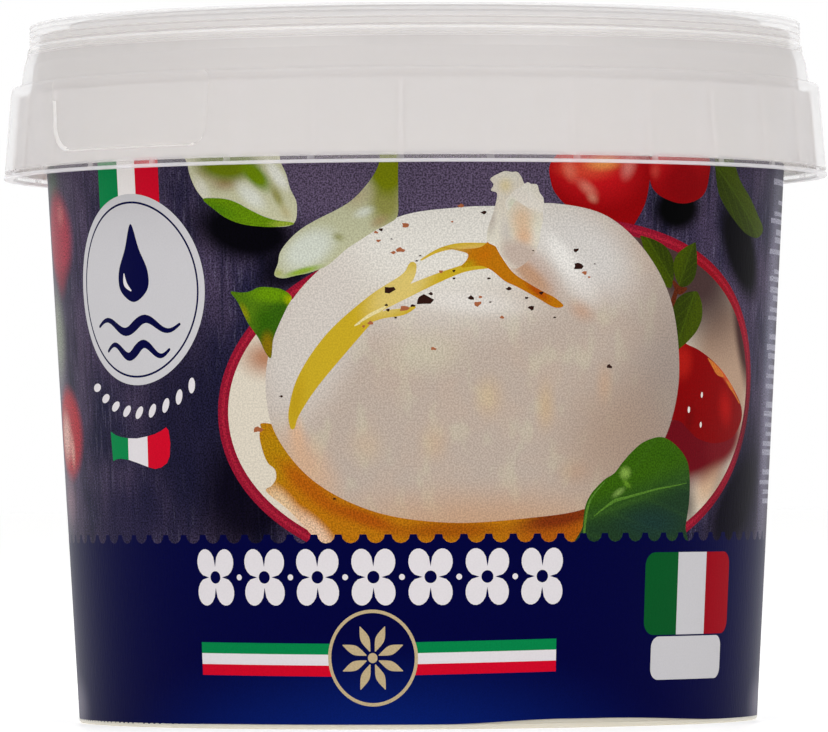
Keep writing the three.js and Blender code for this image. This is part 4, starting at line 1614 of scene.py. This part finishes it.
@dataclass
class Lid:
    """The translucent snap lid: panel, raised ring, band, skirt and tamper lip.

    Attributes:
        wall: Thickness of the moulding.
        top: Highest point, the top of the raised ring.
        panel_top, panel_radius: Height and radius of the sunk panel.
        ring_inner, ring_outer, ring_foot: Radii of the raised ring, and its foot on a ledge.
        slope_radius, slope_bend: Radius and height at which the slope under it bends.
        band_upper, band_top: Radius and height of the band's upper end.
        band_lower, shoulder: Radius and height of its lower end, at the shoulder.
        skirt_upper, skirt_top: Radius and height of the skirt's upper end.
        skirt_lower, skirt_foot: Radius and height of its foot, the lowest point.
        grooves, groove_depth, groove_width: Heights and size of the grooves in the ring.
        hairlines: Heights of the finer lines round the slope.
        lip, slot: Heights of the tamper lip and of the slots over it.
        web: Thickness of the web that is left behind a slot.
        bridges: Bridges that hold the lip, and ribs over them.
        bridge_width, rib_width, rib_inner: Their widths, and the radius of a rib's inner edge.
        first_bridge: Angle of one bridge from the front, in degrees.
        tab_centre: Angle of the lifting tab from the front, in degrees.
        tab_width, tab_foot, tab_top: The tab's width, and heights of its two long edges.
        tab_tapers: How far its left and its right side lean in towards the foot.
        tab_corners, tab_top_corner: Radii of its lower two corners and of its upper ones.
        tab_relief: How far it stands proud of the skirt.
        tab_glint: How far under its upper edge the painted highlight on its side begins.
        segments: Number of faces round the axis.
    """

    wall: float = 1.2
    top: float = 86.0
    panel_top: float = 83.6
    panel_radius: float = 41.6
    ring_inner: float = 42.7
    ring_outer: float = 47.73
    ring_foot: float = 83.0
    slope_radius: float = 48.07
    slope_bend: float = 82.1
    band_upper: float = 48.44
    band_top: float = 80.9
    band_lower: float = 48.8
    shoulder: float = 78.35
    skirt_upper: float = 50.08
    skirt_top: float = 77.4
    skirt_lower: float = 50.95
    skirt_foot: float = 67.0
    grooves: tuple[float, ...] = (83.5, 84.28, 85.03, 85.6)
    hairlines: tuple[float, ...] = (82.25, 82.55)
    groove_depth: float = 0.12
    groove_width: float = 0.26
    lip: float = 0.4
    slot: float = 0.5
    web: float = 0.3
    bridges: int = 30
    bridge_width: float = 0.9
    first_bridge: float = -2.0
    rib_width: float = 0.6
    rib_inner: float = 46.9
    tab_centre: float = -45.2
    tab_width: float = 28.0
    tab_tapers: tuple[float, float] = (1.1, 0.2)
    tab_foot: float = 69.4
    tab_top: float = 78.35
    tab_corners: tuple[float, float] = (4.0, 2.2)
    tab_top_corner: float = 1.0
    tab_relief: float = 0.25
    tab_glint: float = 2.7
    segments: int = 360

    def skirt_radius(self, z: float) -> float:
        """Outer radius of the skirt at a height."""
        share = (z - self.skirt_foot) / (self.skirt_top - self.skirt_foot)
        return self.skirt_lower + (self.skirt_upper - self.skirt_lower) * share

    @staticmethod
    def groove(radius: float, z: float, depth: float, width: float) -> list[Corner]:
        """A fine groove round the lid.

        Args:
            radius: Radius of the surface that it is cut in.
            z: Its height.
            depth: Its depth.
            width: Its width.

        Returns:
            Its corners, from the lower lip to the upper one.
        """
        return [
            Corner(radius, z - width / 2),
            Corner(radius - depth, z - width / 4),
            Corner(radius - depth, z + width / 4),
            Corner(radius, z + width / 2),
        ]

    def profile(self) -> list[Place]:
        """The turned outline, from under the panel, round the skirt's foot and back on top.

        Returns:
            Its (radius, height) points.
        """
        lip_top = self.skirt_foot + self.lip
        slot_top = lip_top + self.slot
        under = self.panel_top - self.wall
        roof = self.top - self.wall
        hollow_in = self.ring_inner + self.wall - 0.3
        hollow_out = self.ring_outer - self.wall
        ledge = self.skirt_top - 0.3
        corners = [
            Corner(0, under),
            Corner(hollow_in - 0.4, under, 0.35),
            Corner(hollow_in, roof, 0.3),
            Corner(hollow_out - 0.1, roof, 0.3),
            Corner(hollow_out, self.ring_foot, 0.4),
            Corner(self.slope_radius - self.wall, self.slope_bend, 0.4),
            Corner(self.band_upper - self.wall, self.band_top, 0.5),
            Corner(self.band_lower - self.wall, ledge + 0.2, 0.2),
            Corner(self.skirt_radius(ledge) - self.wall, ledge, 0.2),
            Corner(self.skirt_radius(slot_top) - self.wall, slot_top),
            Corner(self.skirt_radius(lip_top) - self.wall, lip_top),
            Corner(self.skirt_lower - self.wall, self.skirt_foot, 0.12),
            Corner(self.skirt_lower, self.skirt_foot, 0.12),
            Corner(self.skirt_radius(lip_top), lip_top),
            Corner(self.skirt_radius(slot_top), slot_top),
            Corner(self.skirt_upper, self.skirt_top, 0.2),
            Corner(self.skirt_upper - 0.12, self.shoulder, 0.55),
            Corner(self.band_lower, self.shoulder, 0.2),
            Corner(self.band_upper, self.band_top, 0.6),
            Corner(self.slope_radius, self.slope_bend, 0.3),
        ]
        for z in self.hairlines:
            corners += self.groove(self.slope_radius - 0.05, z, 0.05, 0.1)
        corners.append(Corner(self.ring_outer + 0.2, self.ring_foot, 0.08))
        corners.append(Corner(self.ring_outer, self.ring_foot + 0.28, 0.05))
        for z in self.grooves:
            corners += self.groove(self.ring_outer, z, self.groove_depth, self.groove_width)
        corners += [
            Corner(self.ring_outer, self.top, 0.3),
            Corner(self.ring_inner, self.top, 0.35),
            Corner(self.panel_radius + 0.3, self.panel_top, 0.5),
            Corner(0, self.panel_top),
        ]
        return rounded(corners)

    def slot_cutter(self, ring: RingTree) -> Piece:
        """The slots between skirt and lip, as one ring of curved blocks.

        Args:
            ring: The tree that sets copies round the axis.

        Returns:
            The blocks to cut away.
        """
        pitch = 2 * math.pi / self.bridges
        half = (pitch - self.bridge_width / self.skirt_lower) / 2
        low = self.skirt_foot + self.lip
        inner, outer = self.skirt_lower - self.wall + self.web, self.skirt_lower + self.wall
        rows = [(inner, low), (outer, low), (outer, low + self.slot), (inner, low + self.slot)]
        steps = 11
        turns = [-half + 2 * half * k / steps for k in range(steps + 1)]
        verts = [on_circle(r, a, z) for a in turns for r, z in rows]
        faces = [[0, 1, 2, 3], [4 * steps + i for i in (3, 2, 1, 0)]]
        for k in range(steps):
            for i in range(4):
                j = (i + 1) % 4
                faces.append([4 * k + j, 4 * k + i, 4 * k + 4 + i, 4 * k + 4 + j])
        cutter = mesh_object("slot_blocks", verts, faces)
        ring.apply(cutter, {
            "Count": self.bridges,
            "First Angle": math.radians(self.first_bridge) + pitch / 2,
            **RingTree.KEEP_ALL,
            "Material": Skin.INNER.value.material(),
        })
        return cutter

    def ribs(self, ring: RingTree) -> Piece:
        """The ribs inside the skirt, one over each bridge save behind the tab.

        Args:
            ring: The tree that sets copies round the axis.

        Returns:
            The ribs.
        """
        low = self.skirt_foot + self.lip + self.slot
        high = self.skirt_top - 0.1
        inner = [self.skirt_radius(z) - self.wall for z in (low, high)]
        outline = [
            (self.rib_inner, low + 0.6),
            (inner[0] + self.wall / 4, low),
            (inner[1] + self.wall / 4, high),
            (self.rib_inner, high),
        ]
        half = self.rib_width / 2
        verts = [Vector((x, -r, z)) * MM for x in (-half, half) for r, z in outline]
        faces = [[0, 1, 2, 3], [7, 6, 5, 4]]
        for i in range(4):
            j = (i + 1) % 4
            faces.append([j, i, 4 + i, 4 + j])
        rib = mesh_object("skirt_ribs", verts, faces)
        tab_half = self.tab_width / 2 / self.skirt_lower
        tab_turn = 2 * math.pi + math.radians(self.tab_centre)
        ring.apply(rib, {
            "Count": self.bridges,
            "First Angle": math.radians(self.first_bridge),
            "Skip From": tab_turn - tab_half,
            "Skip To": tab_turn + tab_half,
            "Material": Skin.INNER.value.material(),
        })
        return rib

    def skin(self, face: bpy.types.MeshPolygon) -> Skin:
        """Tells which skin of the moulding a face belongs to.

        Args:
            face: A face of the moulding.

        Returns:
            Its skin.
        """
        flat, z = face.center.to_2d(), face.center.z / MM
        radius = flat.length / MM
        outward = flat.normalized().dot(face.normal.to_2d())
        leftward = Vector((flat.y, -flat.x)).normalized().dot(face.normal.to_2d())
        lip_top = self.skirt_foot + self.lip
        # Each limit has a small margin, so that a rounding stays with the side it belongs to.
        if z < lip_top + 0.01:
            return Skin.LIP
        if z < lip_top + self.slot - 0.02:
            return Skin.OUTER if radius > self.skirt_lower - 0.4 else Skin.WEB
        if outward < -0.3 or radius < self.skirt_radius(z) - self.wall - 0.05 and z < self.skirt_top:
            return Skin.INNER
        # The left side of the tab's rounded edge takes a painted highlight.
        if leftward > 0.03 and z < self.tab_top - self.tab_glint and radius > self.skirt_radius(z) + 0.02:
            return Skin.EDGE
        if face.normal.z < -0.5 and z < self.top - self.wall + 0.1:
            return Skin.INNER
        if z < self.slope_bend or radius < self.ring_outer - 0.4:
            return Skin.OUTER
        # Grooves and hairlines take painted shade, the ledge a painted highlight, and the rest of the ring
        # painted light.
        if any(abs(z - g) < self.groove_width / 2 for g in self.grooves) and radius < self.ring_outer + 0.01:
            return Skin.GROOVE
        if any(abs(z - g) < 0.05 for g in self.hairlines):
            return Skin.GROOVE
        return Skin.LEDGE if self.ring_foot - 0.1 < z < self.ring_foot + 0.28 else Skin.RING

    def tab_outline(self) -> list[Place]:
        """The lifting tab's outline, laid flat.

        Returns:
            (arc, height) places, anticlockwise from its lower right corner.
        """
        (left, right), top = self.tab_corners, self.tab_top_corner
        left_foot, right_foot = (self.tab_width / 2 - taper - corner
                                 for taper, corner in zip(self.tab_tapers, self.tab_corners))
        half_top = self.tab_width / 2 - top
        corners = [
            (right_foot, self.tab_foot + right, right, -90),
            (half_top, self.tab_top - top, top, 0),
            (-half_top, self.tab_top - top, top, 90),
            (-left_foot, self.tab_foot + left, left, 180),
        ]
        sharp = []
        for s, z, radius, start in corners:
            for k in range(9):
                turn = math.radians(start + 90 * k / 8)
                sharp.append((s + radius * math.cos(turn), z + radius * math.sin(turn)))
        outline: list[Place] = []
        longest = 0.9
        for i, (s, z) in enumerate(sharp):
            far_s, far_z = sharp[(i + 1) % len(sharp)]
            steps = max(1, round(math.hypot(far_s - s, far_z - z) / longest))
            outline += [(s + (far_s - s) * k / steps, z + (far_z - z) * k / steps) for k in range(steps)]
        return outline

    def tab(self) -> Piece:
        """The lifting tab: a thin plate that stands proud of the skirt, its edge rounded.

        Returns:
            The plate, which reaches into the skirt.
        """
        middle = (self.tab_foot + self.tab_top) / 2
        outline = self.tab_outline()
        # Each level has its size, as a share of the outline's, and its distance out of the skirt.
        edge = [(1.0, -self.wall / 2), (1.0, 0.04), (0.98, 0.15), (0.95, 0.22), (0.91, self.tab_relief)]
        inner = [0.83 - 0.1 * k for k in range(8)]
        levels = [(k, -self.wall / 2) for k in reversed(inner)] + edge + [(k, self.tab_relief) for k in inner]
        verts: list[Vector] = []
        for share, out in levels:
            for s, z in outline:
                z = middle + (z - middle) * share
                turn = math.radians(self.tab_centre) + s * share / self.skirt_upper
                verts.append(on_circle(self.skirt_radius(z) + out, turn, z))
        n = len(outline)
        faces = [list(range(n))[::-1], [len(verts) - n + k for k in range(n)]]
        for i in range(len(levels) - 1):
            for k in range(n):
                a, b = i * n + k, i * n + (k + 1) % n
                faces.append([a, b, b + n, a + n])
        return mesh_object("lifting_tab", verts, faces)

    def build(self, ring: RingTree) -> Piece:
        """Makes the lid as one moulding, dresses it and sets it in place of its solid.

        Args:
            ring: The tree that sets copies round the axis.

        Returns:
            The finished lid.
        """
        piece = turned_object("lid_moulding", self.profile(), self.segments)
        tools = [(self.slot_cutter(ring), "DIFFERENCE"), (self.tab(), "UNION")]
        for tool, operation in tools:
            step = piece.modifiers.new(tool.name, "BOOLEAN")
            step.object = tool
            step.operation = operation
            step.solver = "MANIFOLD"
        plain_mesh(piece)
        for tool, _ in tools:
            bpy.data.objects.remove(tool)
        moulded = len(piece.data.polygons)
        join_into(piece, self.ribs(ring))
        piece.data.materials.clear()
        skins = list(Skin)
        for skin in skins:
            piece.data.materials.append(skin.value.material())
        for face in piece.data.polygons:
            face.material_index = skins.index(self.skin(face) if face.index < moulded else Skin.RIB)
        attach(piece, ROOT)
        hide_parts("lid")
        return piece


# ---------------------------------------------------------------- studio


@dataclass(frozen=True)
class LitFloor(Finish):
    """White acrylic, lit faintly from below.

    Attributes:
        glow: Light that comes up through it.
    """

    glow: float = 0.0

    def surface(self, tree: Tree) -> dict:
        """The glow."""
        return {"Emission Color": (1, 1, 1, 1), "Emission Strength": self.glow}


@dataclass
class Studio:
    """Pale floor, soft lights and the camera.

    Attributes:
        distance, eye_height: Place of the camera, from the axis of the tub.
        focal_px, image_px: Focal length and size of the render, in pixels.
        axis_px, horizon_px: Column of the tub's axis and row of the horizon.
        roll_deg: How far the camera is turned about its own axis.
        sensor_mm: Width of the sensor.
        sky, flank, card: Strength of the sky behind the tub, at its sides and in front of it.
        zenith: Share of that strength overhead.
        softbox: Watts of each soft light.
        floor_half: Half of the floor's side, in metres.
        floor_glow: Light that comes up through the floor.
    """

    distance: float = 981.0
    eye_height: float = 26.5
    focal_px: float = 7916.0
    image_px: Place = (828.0, 732.0)
    axis_px: float = 416.5
    horizon_px: float = 506.0
    roll_deg: float = 0.3
    sensor_mm: float = 36.0
    sky: float = 1.0
    zenith: float = 0.6
    flank: float = 0.76
    card: float = 0.4
    softbox: float = 15.5
    floor_half: float = 40.0
    floor_glow: float = 0.39

    def floor(self) -> Piece:
        """A wide pale floor.

        Returns:
            The floor.
        """
        half = self.floor_half
        corners = [Vector((x, y, 0)) for x, y in ((-half, -half), (half, -half), (half, half), (-half, half))]
        piece = mesh_object("studio_floor", corners, [[0, 1, 2, 3]])
        piece.data.materials.append(LitFloor("studio_floor", "f4f4f3", glow=self.floor_glow).material())
        return piece

    def lamp(self, name: str, place: Sequence[float], size: float, power: float) -> None:
        """A square soft light that faces the tub.

        Args:
            name: The light's name.
            place: Where it stands, in metres.
            size: Length of its side, in metres.
            power: Watts.
        """
        light = bpy.data.lights.new(name, "AREA")
        light.size = size
        light.energy = power
        lamp = bpy.data.objects.new(name, light)
        lamp.location = place
        aim = Vector((0, 0, 0.05)) - Vector(place)
        lamp.rotation_euler = aim.to_track_quat("-Z", "Y").to_euler()
        bpy.context.scene.collection.objects.link(lamp)

    def world(self) -> None:
        """A white sky, with a dim card behind the camera."""
        world = bpy.data.worlds.new("studio_sky")
        world.use_nodes = True
        tree = world.node_tree
        tree.nodes.clear()
        way = add(tree, "ShaderNodeTexCoord").outputs["Generated"]
        front = add(tree, "ShaderNodeVectorMath", {"operation": "DOT_PRODUCT"}, [way, (0, -1, 0)])
        far, rear, wide, near = (math.cos(math.radians(a)) for a in (150, 115, 70, 40))
        card = add(tree, "ShaderNodeMapRange", SOFT, [front, wide, near, self.flank, self.card])
        behind = add(tree, "ShaderNodeMapRange", SOFT, [front, far, rear, self.sky, 0.0])
        share = add(tree, "ShaderNodeMath", {"operation": "MAXIMUM"}, [card, behind])
        height = add(tree, "ShaderNodeSeparateXYZ", inputs=[way]).outputs["Z"]
        fall = add(tree, "ShaderNodeMapRange", SOFT, [height, 0.3, 0.8, 1.0, self.zenith])
        strength = add(tree, "ShaderNodeMath", {"operation": "MULTIPLY"}, [share, fall])
        light = add(tree, "ShaderNodeBackground", inputs={"Color": (1, 1, 1, 1), "Strength": strength})
        add(tree, "ShaderNodeOutputWorld", inputs={"Surface": light})
        bpy.context.scene.world = world

    def camera(self) -> None:
        """The camera: a long lens a little above the floor, tilted up a degree."""
        width, height = self.image_px
        data = bpy.data.cameras.new("studio_camera")
        data.sensor_width = self.sensor_mm
        data.lens = self.focal_px / width * self.sensor_mm
        data.clip_end = 100
        camera = bpy.data.objects.new("studio_camera", data)
        pan = (self.axis_px - width / 2) / self.focal_px
        tilt = math.atan((self.horizon_px - height / 2) / self.focal_px)
        turn = (Matrix.Rotation(pan, 4, "Z") @ Matrix.Rotation(math.pi / 2 + tilt, 4, "X")
                @ Matrix.Rotation(math.radians(-self.roll_deg), 4, "Z"))
        eye = Matrix.Translation(Vector((0, -self.distance, self.eye_height)) * MM)
        camera.matrix_world = eye @ turn
        bpy.context.scene.collection.objects.link(camera)
        bpy.context.scene.camera = camera

    def build(self) -> None:
        """Sets up floor, sky, lights and camera."""
        self.floor()
        self.world()
        for side, x in (("left", -1.0), ("right", 1.0)):
            self.lamp(f"front_{side}_softbox", (x, -1.15, 1.55), 1.2, self.softbox)
        self.camera()
        view = bpy.context.scene.view_settings
        view.view_transform = "Standard"
        view.look = "None"


def main() -> None:
    """Builds every piece in order."""
    logging.basicConfig(level=logging.INFO, format="%(name)s: %(message)s")
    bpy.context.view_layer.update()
    ring = RingTree()
    tub = Tub()
    pieces = [tub.build(), Film(tub).build(), Lid().build(ring)]
    for piece in pieces:
        LOG.info("%s: %d faces", piece.name, len(piece.data.polygons))
    Studio().build()


if __name__ == "__main__":
    main()
